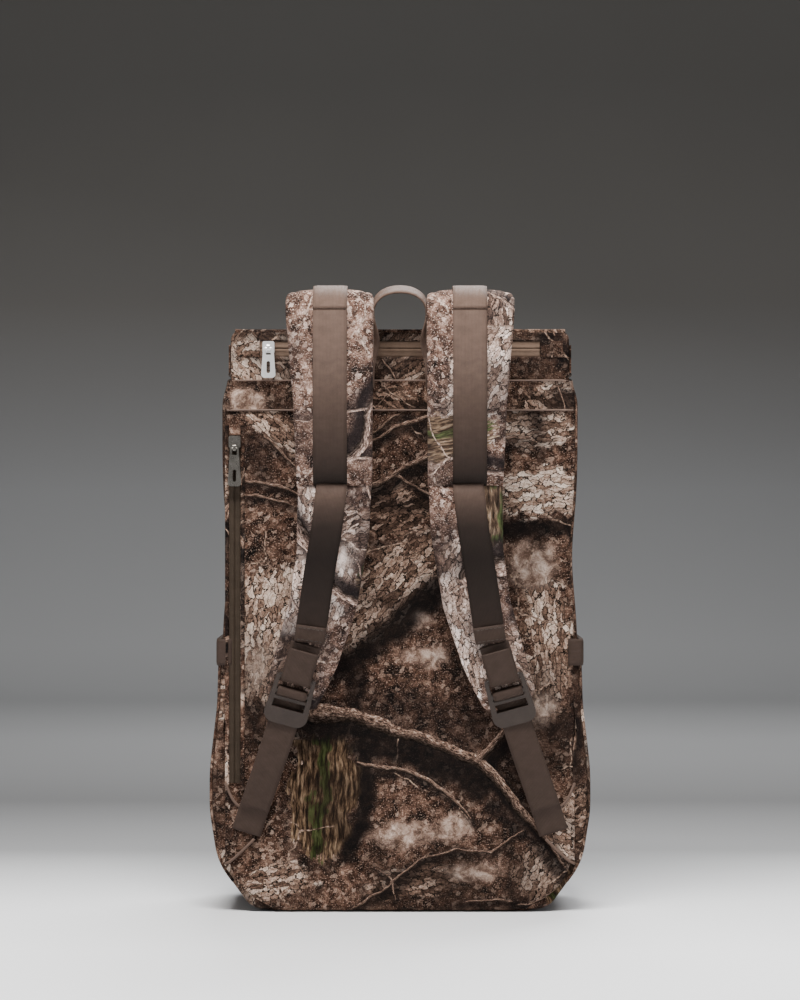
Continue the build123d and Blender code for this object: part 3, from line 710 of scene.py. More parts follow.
def camo_material(name, gain, contrast):
    """Printed camouflage: leaf litter, cracked bark, limbs, twigs and moss, on a matt weave."""
    g = Graph(name)
    u, v, light = g.split(g.attribute("cloth"))
    flat = g.join(u, v)
    inside, side, along = g.split(g.attribute("limb"))
    bark, shade, moss = g.split(g.attribute("marks"))
    p, q, glow = g.split(g.attribute("grain"))

    # Leaf litter and soil: three sizes of grain, from black gaps to pale specks
    broad = g.noise(flat, 30.0, 3.0, 0.5, 0.3)
    litter = g.noise(flat, 95.0, 10.0, 0.72, 0.5)
    mixed = g.add(g.mul(litter, 0.80), g.mul(broad, 0.22))
    mixed = g.add(mixed, g.mul(glow, 0.13))
    ground = g.ramp(
        mixed,
        [
            (0.40, (0.010, 0.007, 0.006)),
            (0.47, (0.052, 0.030, 0.022)),
            (0.53, (0.120, 0.072, 0.053)),
            (0.59, (0.235, 0.155, 0.120)),
            (0.66, (0.440, 0.325, 0.268)),
            (0.76, (0.720, 0.610, 0.540)),
        ],
    )
    jitter = g.vector("SCALE", g.noise(flat, 300.0, 2.0, colour=True), scale=0.004)
    chip, chip2, _ = g.split(g.voronoi(g.vector("ADD", flat, jitter), 330.0, output="Color"))
    leaf = g.ramp(
        chip2, [(0.0, (0.05, 0.031, 0.024)), (0.5, (0.22, 0.145, 0.110)), (1.0, (0.60, 0.48, 0.41))]
    )
    ground = g.mix(g.mul(g.step(chip, 0.66, 0.74), 0.55), ground, leaf)
    speck = g.noise(flat, 760.0, 2.0, 0.8)
    ground = g.mix(g.mul(g.step(speck, 0.58, 0.66), 0.75), ground, (0.60, 0.49, 0.43))
    ground = g.mix(g.mul(g.step(speck, 0.43, 0.36), 0.80), ground, (0.012, 0.009, 0.008))

    # Cracked bark: plates drawn out along the grain, with black cracks between them
    warp = g.vector("SCALE", g.noise(flat, 150.0, 3.0, colour=True), scale=0.011)
    plates = g.vector("ADD", g.join(g.mul(p, 0.50), g.mul(q, 1.25)), warp)
    edge = g.voronoi(plates, 200.0, "DISTANCE_TO_EDGE")
    fine_edge = g.voronoi(plates, 470.0, "DISTANCE_TO_EDGE")
    cell, _, _ = g.split(g.voronoi(plates, 200.0, output="Color"))
    grit = g.noise(flat, 330.0, 5.0, 0.75)
    fur = g.noise(g.join(g.mul(p, 0.35), g.mul(q, 1.6)), 260.0, 5.0, 0.7)
    tone = g.add(g.mul(cell, 0.24), g.mul(grit, 0.52))
    tone = g.add(tone, g.add(g.mul(fur, 0.42), g.mul(light, 0.28)))
    skin = g.ramp(
        tone,
        [
            (0.52, (0.030, 0.020, 0.016)),
            (0.66, (0.135, 0.090, 0.070)),
            (0.76, (0.310, 0.220, 0.175)),
            (0.86, (0.560, 0.445, 0.380)),
            (1.00, (0.800, 0.710, 0.640)),
        ],
    )
    crack = g.add(g.mul(g.step(fine_edge, 0.01, 0.09), 0.55), 0.45)
    crack = g.mul(crack, g.step(edge, 0.01, 0.11))
    skin = g.mix(crack, (0.012, 0.009, 0.007), skin)
    patchy = g.add(bark, g.mul(g.sub(g.noise(flat, 75.0, 6.0, 0.7), 0.5), 2.6))
    colour = g.mix(g.step(patchy, -0.05, 0.18), ground, skin)

    # Streaked wood with moss down its middle
    streak = g.noise(g.join(g.mul(p, 0.16), q), 420.0, 5.0, 0.65)
    wood = g.ramp(
        streak,
        [
            (0.36, (0.012, 0.009, 0.006)), (0.47, (0.075, 0.048, 0.032)), (0.56, (0.210, 0.150, 0.100)),
            (0.70, (0.46, 0.36, 0.27)),
        ],
    )
    green = g.ramp(
        streak,
        [
            (0.34, (0.010, 0.010, 0.005)), (0.48, (0.046, 0.055, 0.022)), (0.62, (0.110, 0.128, 0.056)),
            (0.78, (0.20, 0.205, 0.115)),
        ],
    )
    ragged = g.add(moss, g.mul(g.sub(streak, 0.5), 0.9))
    wood = g.mix(g.step(ragged, 0.84, 0.92), wood, green)
    on_wood = g.mul(g.step(moss, 0.3, 0.45), g.step(g.add(bark, g.mul(g.sub(streak, 0.5), 1.2)), 0.0, 0.12))
    colour = g.mix(on_wood, colour, wood)

    # Soft dark places, then fine twigs and limbs over everything
    deep = g.step(g.noise(flat, 9.0, 2.0, 0.5, 0.6), 0.54, 0.34)
    colour = g.mix(g.mul(deep, 0.58), colour, (0.030, 0.021, 0.018))
    colour = g.mix(
        g.mul(glow, 0.42), colour, g.ramp(litter, [(0.40, (0.25, 0.18, 0.145)), (0.62, (0.74, 0.64, 0.58))])
    )
    colour = g.mix(g.mul(shade, 0.90), colour, (0.011, 0.009, 0.010))

    twig_at = g.vector("ADD", flat, g.vector("SCALE", g.noise(flat, 22.0, 3.0, colour=True), scale=0.03))
    twig = g.voronoi(twig_at, 14.0, "DISTANCE_TO_EDGE")
    twig_on = g.mul(g.step(twig, 0.012, 0.007), g.step(g.noise(flat, 12.0, 1.0), 0.54, 0.58))
    twig_skin = g.ramp(
        g.noise(flat, 320.0, 3.0), [(0.38, (0.07, 0.046, 0.036)), (0.62, (0.46, 0.36, 0.30))]
    )
    colour = g.mix(twig_on, colour, twig_skin)

    limb_grain = g.noise(g.join(g.mul(along, 150.0), g.mul(side, 2.6), g.mul(u, 40.0)), 1.8, 7.0, 0.78)
    limb_skin = g.ramp(
        limb_grain,
        [
            (0.40, (0.022, 0.015, 0.012)), (0.48, (0.150, 0.100, 0.080)), (0.56, (0.370, 0.275, 0.225)),
            (0.66, (0.720, 0.610, 0.540)),
        ],
    )
    lit = g.ramp(
        g.add(g.mul(side, 0.5), 0.5), [(0.0, 0.05), (0.30, 0.30), (0.60, 0.95), (0.88, 1.25), (1.0, 0.75)]
    )
    limb_skin = g.mix(1.0, limb_skin, lit, "MULTIPLY")
    colour = g.mix(g.step(inside, -0.02, 0.10), colour, limb_skin)

    cloth_weave = weave_height(g, u, v, 0.85 * MM)
    crumple = g.noise(flat, 90.0, 3.0, 0.5)
    normal = g.bump(cloth_weave, 0.10 * MM, 0.6, g.bump(crumple, 0.9 * MM, 0.5))
    curve = g.tree.nodes.new("ShaderNodeGamma")
    g.set(curve.inputs[0], colour)
    g.set(curve.inputs[1], contrast)
    colour = g.mix(1.0, curve.outputs[0], gain, "MULTIPLY")
    worn = g.mix(g.mul(g.step(cloth_weave, 0.2, 1.0), 0.02), colour, (0.5, 0.40, 0.34))
    roughness = g.add(g.mul(litter, 0.12), 0.78)
    return g.shade(worn, roughness, normal, gloss=0.06)


def webbing_material(name, low, high, pitch=1.15 * MM, gloss=0.12):
    """Ribbed webbing: fine twill ribs along its length, a firmer edge, and the painted shade stored with
    each piece.
    """
    g = Graph(name)
    u, v, dark = g.split(g.attribute("cloth"))
    turns = 2 * math.pi / pitch
    ribs = g.math("SINE", g.mul(u, turns))
    chevron = g.mul(g.math("ABSOLUTE", g.sub(g.math("FRACT", g.mul(u, 1 / (4.6 * MM))), 0.5)), 2.6 * MM)
    picks = g.math("SINE", g.mul(g.add(v, chevron), 2 * math.pi / (0.95 * MM)))
    height = g.add(g.mul(ribs, 0.55), g.mul(picks, 0.6))
    broad = g.noise(g.join(g.mul(u, 0.7), v), 150.0, 4.0, 0.6)
    tone = g.add(g.mul(broad, 0.55), g.mul(height, 0.13))
    colour = g.ramp(tone, [(0.0, low), (0.56, high)])
    fuzz = g.noise(g.join(u, v), 900.0, 2.0)
    colour = g.mix(g.mul(g.step(fuzz, 0.6, 0.8), 0.10), colour, (0.36, 0.27, 0.22))
    # painted shade: darkens the webbing towards near black as the piece's height table says
    colour = g.mix(dark, colour, (0.006, 0.0034, 0.0024))
    normal = g.bump(height, 0.16 * MM, 0.8)
    return g.shade(colour, 0.5, normal, gloss=gloss)


def lining_material():
    g = Graph("lining_fabric")
    u, v, _ = g.split(g.attribute("cloth"))
    grid = g.math(
        "MAXIMUM", g.step(g.math("SINE", g.mul(u, 2 * math.pi / (5 * MM))), 0.93, 0.99),
        g.step(g.math("SINE", g.mul(v, 2 * math.pi / (5 * MM))), 0.93, 0.99),
    )
    flat = g.join(u, v)
    colour = g.ramp(g.noise(flat, 40.0, 4.0), [(0.3, (0.030, 0.024, 0.019)), (0.7, (0.052, 0.042, 0.034))])
    colour = g.mix(g.mul(grid, 0.35), colour, (0.09, 0.075, 0.06))
    weave = weave_height(g, u, v, 0.7 * MM)
    return g.shade(colour, 0.62, g.bump(g.add(weave, grid), 0.12 * MM, 0.6), sheen=0.05)


def object_noise_material(name, low, high, roughness, metal, scale, bump_by, wear=None, gloss=0.5):
    """A hard material whose colour and roughness vary over the object."""
    g = Graph(name)
    coordinates = g.tree.nodes.new("ShaderNodeTexCoord").outputs["Object"]
    broad = g.noise(coordinates, scale, 5.0, 0.6)
    fine = g.noise(coordinates, scale * 9, 3.0, 0.6)
    colour = g.ramp(broad, [(0.3, low), (0.7, high)])
    if wear:
        colour = g.mix(g.mul(g.step(fine, 0.58, 0.75), 0.3), colour, wear)
    rough = g.add(roughness, g.mul(g.sub(fine, 0.5), 0.22))
    return g.shade(colour, rough, g.bump(fine, bump_by, 0.5), metal=metal, gloss=gloss)


# One print, two copies: the strap pads' copy is lighter, painted light for pads that face up into the lamp;
# the body's copy is darker.
CAMO = camo_material("camo_fabric", (0.93, 0.90, 0.87), 1.32)
CAMO_PAD_PAINTED_LIGHT = camo_material("camo_strap_painted_light", (1.52, 1.55, 1.62), 1.17)
WEBBING = webbing_material("webbing", (0.080, 0.051, 0.039), (0.166, 0.109, 0.084))
TAPE = webbing_material("zip_tape", (0.085, 0.055, 0.038), (0.170, 0.112, 0.080), 0.8 * MM)
DARK_TAPE = webbing_material("side_zip_tape", (0.022, 0.015, 0.010), (0.050, 0.035, 0.024), 0.8 * MM, 0.1)
LINING = lining_material()
DARK_THREAD = object_noise_material(
    "dark_thread", (0.018, 0.013, 0.011), (0.045, 0.033, 0.027), 0.7, 0.0, 500.0, 0.05 * MM
)
PLASTIC = object_noise_material(
    "buckle_plastic", (0.020, 0.0125, 0.009), (0.031, 0.020, 0.015), 0.38, 0.0, 120.0, 0.03 * MM,
    (0.06, 0.044, 0.036), 0.25,
)
NICKEL = object_noise_material(
    "bright_nickel", (0.90, 0.89, 0.87), (0.97, 0.96, 0.94), 0.36, 1.0, 160.0, 0.01 * MM, (0.5, 0.48, 0.45)
)
GUNMETAL = object_noise_material(
    "gunmetal", (0.11, 0.10, 0.088), (0.20, 0.185, 0.165), 0.30, 1.0, 160.0, 0.01 * MM, (0.42, 0.40, 0.37)
)
STEEL = object_noise_material(
    "magnet_metal", (0.30, 0.285, 0.265), (0.42, 0.40, 0.375), 0.38, 1.0, 90.0, 0.02 * MM
)
FOAM = object_noise_material(
    "foam", (0.030, 0.030, 0.030), (0.055, 0.055, 0.055), 0.85, 0.0, 300.0, 0.2 * MM
)
BOARD = object_noise_material(
    "board", (0.012, 0.012, 0.012), (0.025, 0.025, 0.025), 0.5, 0.0, 80.0, 0.05 * MM
)
# The yoke's folds are real ridges; this lighter tan on them is a painted highlight along each ridge.
FOLD_HIGHLIGHT = webbing_material("trim", (0.11, 0.074, 0.058), (0.22, 0.155, 0.125), 0.9 * MM)
BINDING = webbing_material("binding", (0.040, 0.029, 0.024), (0.105, 0.079, 0.066), 0.9 * MM)


# Painted shade on the webbings, at heights in millimetres: pale on top, where the light falls, and deep
# where they face down. The adjusters, the turned ends and the pocket bands take one steady painted shade.
FIXED_PAINTED_SHADE = [(0, 0.69), (600, 0.69)]
UPPER_PAINTED_SHADE = [(362, 0.97), (368, 0.90), (390, 0.76), (416, 0.56), (445, 0.36), (475, 0.18), (500, 0.0)]
LOWER_PAINTED_SHADE = [(225, 0.66), (245, 0.88), (300, 0.97), (325, 0.90), (340, 0.66), (352, 0.32), (358, 0.5)]

# ---------------------------------------------------------------- shapes with rolled edges
def rounded_half(v, wide, low, r_low, high=1e9, r_high=0.0):
    """Half the width, at v, of a rectangle whose corners are rounded."""
    v = np.asarray(v, float)
    under = np.clip(low + r_low - v, 0, r_low)
    over = np.clip(v - (high - r_high), 0, r_high)
    half = wide - r_low + np.sqrt(r_low**2 - under**2)
    return half - r_high + np.sqrt(r_high**2 - over**2)


def rounded_gap(x, v, wide, low, r_low, high=1e9, r_high=0.0):
    """How far inside that rectangle's outline a point is."""
    x = np.abs(x)
    gap = np.minimum(np.minimum(wide - x, v - low), high - v)
    in_low = (x > wide - r_low) & (v < low + r_low)
    gap = np.where(in_low, r_low - np.hypot(x - wide + r_low, low + r_low - v), gap)
    in_high = (x > wide - r_high) & (v > high - r_high)
    return np.where(in_high, r_high - np.hypot(x - wide + r_high, v - high + r_high), gap)


def face_grid(half, gap, low, high, roll, round_low=True, round_high=False, pitch=1.8 * MM):
    """Points of a flat face with a rolled edge: x, v, and 0 to 1 for how far up the roll each is."""
    edge = roll * (1 - np.cos(np.linspace(0, math.pi / 2, 6)))
    rows = list(low + edge[:-1]) if round_low else []
    start = low + roll if round_low else low
    stop = high - roll if round_high else high
    rows += list(np.linspace(start, stop, max(2, int((stop - start) / pitch) + 1)))
    if round_high:
        rows += list(high - edge[:-1][::-1])
    rows = np.array(rows)
    widest = float(np.max(half(rows)))
    inner = np.linspace(-1, 1, max(3, int(2 * (widest - roll) / pitch) + 1))
    h = half(rows)[:, None]
    x = np.concatenate([-h + edge[None, :-1], inner[None] * (h - roll), h - edge[None, :-1][:, ::-1]], 1)
    v = np.repeat(rows[:, None], x.shape[1], 1)
    d = np.clip(gap(x, v) / roll, 0, 1)
    return x, v, np.sqrt(np.clip(1 - (1 - d) ** 2, 0, 1))


def body_wide(z):
    """Half the body's width without its bottom corners: it is waisted above the bottle pockets."""
    waist = 4.6 * MM * bell(z, 300 * MM, 46 * MM)
    return HALF + 0.6 * MM - waist - 4.6 * MM * smooth(z, 428 * MM, 452 * MM)


def body_half(z):
    return rounded_half(z, body_wide(z), 0.0, SIDE_CORNER)


def body_gap(x, z):
    return rounded_gap(x, z, body_wide(z), 0.0, SIDE_CORNER)


def wrinkles(x, z, size, amount):
    """Soft uneven swells of cloth."""
    x, z = np.broadcast_arrays(x, z)
    p = np.column_stack([np.ravel(x), np.ravel(z), np.zeros(np.size(x))])
    n = value_noise(p, size) + 0.45 * value_noise(p + 1.7, size * 0.42)
    return n.reshape(np.shape(x)) * amount


def back_panel():
    """The padded back between the straps, swelling a little over its foam."""
    roll = 9 * MM
    x, z, rise = face_grid(body_half, body_gap, 0.0, YOKE_LOW, roll, pitch=1.6 * MM)
    middle = smooth(118 * MM - np.abs(x), 0, 30 * MM) * smooth(z, 38 * MM, 80 * MM)
    middle *= smooth(YOKE_LOW - z, 2 * MM, 26 * MM)
    swell = middle * 2.6 * MM + wrinkles(x, z, 46 * MM, 0.9 * MM) * middle
    swell -= 0.9 * MM * bell(z, YOKE_LOW - 1.0 * MM, 2.2 * MM)
    y = BACK_SEAM - rise * (BACK_SEAM - BACK) - swell
    points = spread(x, y, z)
    obj = sheet_piece("back_cloth", points, spread(x, z), CAMO)
    on_bag(obj, "back_panel")


def yoke():
    """The strip above the back panel, turned under and top-stitched along both edges."""
    x, z, rise = face_grid(
        body_wide, lambda x, z: body_wide(z) - np.abs(x), YOKE_LOW - 1 * MM, TOP + 0.6 * MM, 7 * MM,
        round_low=False, pitch=1.2 * MM,
    )
    low, high = z[0, 0], z[-1, 0]
    lift = 0.5 * MM * np.sqrt(np.clip(1 - (1 - np.clip((z - low) / (1.2 * MM), 0, 1)) ** 2, 0, 1))
    lift += 1.0 * MM * bell(z, low + 1.3 * MM, 1.1 * MM) + 1.1 * MM * bell(z, high - 1.4 * MM, 1.1 * MM)
    lift -= 0.5 * MM * bell(z, high - 4.2 * MM, 0.8 * MM) + 0.4 * MM * bell(z, low + 4.0 * MM, 0.8 * MM)
    lift += wrinkles(x, z, 24 * MM, 0.25 * MM)
    y = BACK_SEAM - rise * (BACK_SEAM - BACK) - lift * rise
    points = spread(x, y, z)
    obj = sheet_piece("yoke_cloth", points, spread(x + 0.02, z + 0.46), CAMO, 0.8 * MM)
    on_bag(obj, "yoke_panel")
    # Each fold's ridge: a thin tube in the lighter tan, a painted highlight.
    for name, level in (("lower", YOKE_LOW), ("upper", TOP)):
        half = float(body_wide(level)) - 2.5 * MM
        ends = [(half, BACK + 1.5 * MM, level), (half - 4 * MM, BACK - 1.0 * MM, level)]
        route = np.array(ends + [(-a, b, c) for a, b, c in ends[::-1]])
        obj = tube_piece(f"yoke_{name}_fold", resampled(route, step=3 * MM), 0.75 * MM, FOLD_HIGHLIGHT, printed=False)
        on_bag(obj)


def body_outline():
    """The body's outline from its top right, round the bottom, to its top left, as x and z."""
    z = np.linspace(TOP, SIDE_CORNER, 120)
    side = np.column_stack([body_wide(z), z])
    core = float(body_wide(0.0)) - SIDE_CORNER
    angle = np.linspace(0, math.pi / 2, 26)[1:]
    corner = np.column_stack([core + SIDE_CORNER * np.cos(angle), SIDE_CORNER * (1 - np.sin(angle))])
    half = np.vstack([side, corner])
    across = np.linspace(core, -core, 80)[1:-1]
    bottom = np.column_stack([across, np.zeros(len(across))])
    return np.vstack([half, bottom, half[::-1] * (-1, 1)])


def gussets():
    """The sides and the bottom: one strip round the outline, cut where the base begins."""
    path = body_outline()
    t = tangents(path)
    normal = np.column_stack([-t[:, 1], t[:, 0]])
    s = lengths(path)
    y = np.linspace(BACK_SEAM, FRONT_SEAM, 44)
    t = (y - BACK_SEAM) / (FRONT_SEAM - BACK_SEAM)
    crown = (4 * t * (1 - t))[None]
    on_base = path[:, 1] <= 22 * MM
    first, last = int(np.argmax(on_base)), len(path) - int(np.argmax(on_base[::-1]))
    parts = (
        ("right_side", slice(0, first + 1), "right_side_panel", (0.42, -0.05)),
        ("base", slice(first, last), "bottom_panel", (0.30, 0.55)),
        ("left_side", slice(last - 1, len(path)), "left_side_panel", (-0.72, -0.60)),
    )
    for name, part, node, offset in parts:
        p, n = path[part], normal[part]
        fade = smooth(np.abs(p[:, 1]), 0, 30 * MM)[:, None]
        ripple = wrinkles(s[part][:, None], y[None], 38 * MM, 0.9 * MM)
        out = (1.0 * MM * crown + (ripple - 0.6 * MM) * crown) * fade
        points = spread(p[:, 0, None] + n[:, 0, None] * out, y[None], p[:, 1, None] + n[:, 1, None] * out)
        cloth = spread(y[None] + offset[0], s[part][:, None] + offset[1])
        obj = sheet_piece(name + "_cloth", points, cloth, CAMO)
        on_bag(obj, node)
    for name, where, radius in (
        ("back_piping", BACK_SEAM, 1.7 * MM), ("front_piping", FRONT_SEAM, 1.9 * MM)
    ):
        flat = path + normal * 0.3 * MM
        route = np.column_stack([flat[:, 0], np.full(len(flat), where), flat[:, 1]])
        obj = tube_piece(name, route, radius, CAMO, (0.0, -0.5), (0.0, 1.0, 0.0), sides=8)
        on_bag(obj)


def front_panel():
    """The front below the lid, rolled well round at its edges."""
    roll = 20 * MM
    x, z, rise = face_grid(body_half, body_gap, 0.0, TOP, roll, pitch=2.6 * MM)
    y = FRONT_SEAM + rise * (FRONT - FRONT_SEAM) + wrinkles(
        x, z, 60 * MM, 0.5 * MM
    ) * rise - 0.5 * MM * rise
    points = spread(x, y, z)
    cloth = spread(0.75 - x, z - 0.62)
    obj = sheet_piece("front_cloth", points, cloth, CAMO, flip=True)
    on_bag(obj, "front_panel")


def plan_route(half, front, corner, back, step=3 * MM, z=0.0):
    """A path in plan from the right rear, round the front, to the left rear."""
    points = [(half, back), (half, front), (-half, front), (-half, back)]
    route = resampled(rounded_path(points, [corner] * 2), step=step)
    return np.column_stack([route, np.full(len(route), z)])


def mouth():
    """The top binding, the gathered skirt inside the lid, and the lining."""
    rim = float(body_wide(TOP))
    route = plan_route(rim - 0.3 * MM, FRONT - 1.2 * MM, 19 * MM, BACK_SEAM, z=TOP - 0.4 * MM)
    obj = tube_piece("mouth_binding", route, 2.2 * MM, BINDING, printed=False)
    on_bag(obj)
    ledge = [
        plan_route(rim - d, FRONT - d, max(19 * MM - d, 2 * MM), BACK_SEAM, z=TOP - 0.6 * MM)
        for d in np.array([1.0, 3.5, 6.0]) * MM
    ]
    count = max(len(p) for p in ledge)
    ledge = np.stack([resampled(p, count=count) for p in ledge])
    cloth = np.stack([ledge[..., 0], ledge[..., 1]], -1) + (0.9, 0.9)
    on_bag(sheet_piece("mouth_ledge", ledge, cloth, CAMO, 0.8 * MM))

    low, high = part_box("mouth_skirt")
    rows = np.linspace(TOP - 2 * MM, high.z - 1 * MM, 16)
    flat = plan_route(139.0 * MM, 71.4 * MM, 18 * MM, BACK + 5 * MM, 2.2 * MM)
    s = lengths(flat)
    t = tangents(flat[:, :2])
    inward = np.column_stack([-t[:, 1], t[:, 0]])
    if inward[0, 0] > 0:
        inward = -inward
    grid = []
    for z in rows:
        gather = 0.8 * MM * smooth(z, TOP, high.z) * (
            1 + np.sin(s / (3.6 * MM) + 2 * np.sin(s / (17 * MM)))
        )
        p = flat.copy()
        p[:, :2] += inward * gather[:, None]
        p[:, 2] = z
        grid.append(p)
    grid = np.array(grid)
    cloth = spread(s[None], grid[..., 2] + 0.4)
    on_bag(sheet_piece("skirt", grid, cloth, CAMO, 0.7 * MM), "mouth_skirt")
    hem = grid[-1].copy()
    on_bag(tube_piece("skirt_hem", hem, 1.5 * MM, BINDING, printed=False))

    low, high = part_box("lining")
    rings = []
    levels = np.concatenate(
        [
            low.z + 56 * MM * (1 - np.cos(np.linspace(0, math.pi / 2, 12))),
            np.linspace(low.z + 58 * MM, high.z, 60),
        ]
    )
    wide = (high.x - low.x) / 2 - 0.5 * MM
    for z in levels:
        half = float(rounded_half(z, min(wide, float(body_wide(z)) - 3.4 * MM), low.z, 50 * MM))
        points = [
            (0.0, low.y + 1 * MM), (half, low.y + 1 * MM), (half, high.y - 2 * MM),
            (-half, high.y - 2 * MM), (-half, low.y + 1 * MM), (0.0, low.y + 1 * MM),
        ]
        ring = resampled(rounded_path(points, [5 * MM, 14 * MM, 14 * MM, 5 * MM]), count=160)[:-1]
        rings.append(np.column_stack([ring, np.full(len(ring), z)]))
    rings = np.array(rings)
    middle = rings.mean(axis=1, keepdims=True)
    s = lengths(rings[-1])
    soft = wrinkles(s[None], levels[:, None], 30 * MM, 0.7 * MM)
    rings = rings - unit(rings - middle) * (
        np.abs(soft) * smooth(levels, low.z + 20 * MM, low.z + 70 * MM)[:, None]
    )[..., None]
    faces = grid_faces(len(levels), len(s), wrap=True).tolist()
    faces.append(list(range(len(s)))[::-1])
    cloth = spread(s[None], levels[:, None])
    obj = link_mesh("lining_cloth", rings.reshape(-1, 3), faces, cloth, LINING)
    place(obj, "bag", "lining_fabric", "lining")

    low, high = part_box("laptop_sleeve")
    x, z, rise = face_grid(
        lambda v: rounded_half(v, high.x - 1 * MM, low.z, 12 * MM),
        lambda x, v: rounded_gap(x, v, high.x - 1 * MM, low.z, 12 * MM),
        low.z, high.z, 5 * MM, pitch=6 * MM,
    )
    y = low.y + 0.3 * MM + rise * (high.y - low.y - 0.3 * MM) + wrinkles(x, z, 50 * MM, 0.2 * MM) * rise
    obj = sheet_piece("sleeve_cloth", spread(x, y, z), spread(x, z + 0.6), LINING, printed=False, flip=True)
    place(obj, "bag", "lining_fabric", "laptop_sleeve")
    top = np.array(
        [(high.x - 2 * MM, (low.y + high.y) / 2, high.z), (-high.x + 2 * MM, (low.y + high.y) / 2, high.z)]
    )
    obj = tube_piece("sleeve_binding", resampled(top, step=4 * MM), 1.6 * MM, BINDING, printed=False)
    place(obj, "bag", "lining_fabric")


# ---------------------------------------------------------------- the collar and its zip
def collar():
    """The strip behind the lid's box, folded back above and below the long zip."""
    low, high = YOKE_TOP_LAP, COLLAR_TOP
    half = lambda z: rounded_half(z, COLLAR_HALF, low - 20 * MM, 1e-6, high, 9 * MM)
    gap = lambda x, z: rounded_gap(x, z, COLLAR_HALF, low - 20 * MM, 1e-6, high, 9 * MM)
    x, z, rise = face_grid(half, gap, low, high, 4 * MM, round_low=False, round_high=True, pitch=1.0 * MM)
    tape_low, tape_high = TAPE_LOW.z + 0.6 * MM, TAPE_HIGH.z - 0.6 * MM
    across = smooth(TAPE_HIGH.x + 0.5 * MM - np.abs(x), 0, 1.2 * MM)
    in_slot = smooth(z, tape_low - 0.5 * MM, tape_low + 0.4 * MM) * smooth(
        tape_high + 0.5 * MM - z, 0, 0.9 * MM
    )
    lip = bell(z, tape_low - 1.3 * MM, 1.0 * MM) + bell(z, tape_high + 1.3 * MM, 1.0 * MM)
    lift = 0.7 * MM * lip * across - 2.2 * MM * in_slot * across
    lift -= 0.35 * MM * (bell(z, tape_low - 4.4 * MM, 0.7 * MM) + bell(z, tape_high + 3.6 * MM, 0.6 * MM))
    lift += wrinkles(x, z, 22 * MM, 0.3 * MM) * (1 - in_slot)
    swell = 0.8 * MM * bell(z, (low + tape_low) / 2, 9 * MM)
    y = BACK + 4 * MM - rise * (4 * MM + lift + swell)
    obj = sheet_piece("collar_cloth", spread(x, y, z), spread(x + 0.33, z - 0.08), CAMO)
    on_bag(obj, "rear_collar")

    low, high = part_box("top_zip_garages")
    for side, name in SIDES:
        x, z, rise = face_grid(
            lambda v: np.full(np.shape(v), 9.6 * MM), lambda x, v: rounded_gap(
                x, v, 9.6 * MM, low.z, 1e-6, high.z, 1e-6
            ),
            low.z, high.z, 1.0 * MM, True, True, 1.0 * MM,
        )
        middle = side * (high.x - 10 * MM)
        y = -75.0 * MM - rise * 1.2 * MM
        points = spread(x + middle, y, z)
        obj = sheet_piece(name + "_garage", points, spread(x + side * 0.5, z + 0.1 + side * 0.13), CAMO)
        on_bag(obj, *once(side, "top_zip_garages"))


def zip_tape(name, node, start, end, across, out, width, offset, material=None):
    """A reversed coil zip: two tapes whose inner edges roll together over hidden teeth."""
    start, end = np.array(start, float), np.array(end, float)
    across, out = np.array(across, float), np.array(out, float)
    length = float(np.linalg.norm(end - start))
    rows = int(length / (0.8 * MM)) + 1
    u = np.array(
        [
            -1, -0.97, -0.7, -0.45, -0.36, -0.28, -0.2, -0.12, -0.05, 0, 0.05, 0.12, 0.2, 0.28, 0.36, 0.45,
            0.7, 0.97, 1,
        ]
    )
    d = np.abs(u) * width / 2
    profile = 0.45 * MM + 0.55 * MM * bell(d, 1.5 * MM, 1.0 * MM) - 0.7 * MM * bell(d, 0, 0.35 * MM)
    profile[[0, -1]] = 0.0
    s = np.linspace(0, length, rows)
    teeth = 0.07 * MM * np.sin(s[:, None] * 2 * math.pi / (1.6 * MM)) * bell(d, 1.5 * MM, 1.2 * MM)[None]
    points = (
        (start + (end - start) * (s[:, None] / length))[:, None]
        + across * (u * width / 2)[None, :, None]
        + out * (profile[None] + teeth)[..., None]
    )
    cloth = spread((u * width / 2)[None], s[:, None]) + offset
    flip = float(np.cross(across, end - start) @ out) < 0
    obj = sheet_piece(name, points, cloth, material or TAPE, printed=False, flip=flip)
    place(obj, "bag", "zip_tape", node)


def zips():
    y = TAPE_LOW.y + 0.6 * MM
    z = TOP_ZIP_Z
    zip_tape(
        "top_zip", "top_zip_tape", (TAPE_LOW.x, y, z - 1.2 * MM), (TAPE_HIGH.x, y, z - 1.2 * MM), (0, 0, 1),
        (0, -1, 0), 14.4 * MM, 0.0,
    )
    x = (SIDE_TAPE_LOW.x + SIDE_TAPE_HIGH.x) / 2
    y = BACK - 0.3 * MM
    zip_tape(
        "side_zip", "side_zip_tape", (x, y, SIDE_TAPE_LOW.z), (x, y, SIDE_TAPE_HIGH.z), (1, 0, 0),
        (0, -1, 0), 9.4 * MM, 0.3, DARK_TAPE,
    )
    z = (FRONT_TAPE_LOW.z + FRONT_TAPE_HIGH.z) / 2
    y = FRONT_TAPE_LOW.y + 0.3 * MM
    zip_tape(
        "front_zip", "front_zip_tape", (FRONT_TAPE_LOW.x, y, z), (FRONT_TAPE_HIGH.x, y, z), (0, 0, 1),
        (0, 1, 0), 13 * MM, 0.6,
    )
    fold_strips()


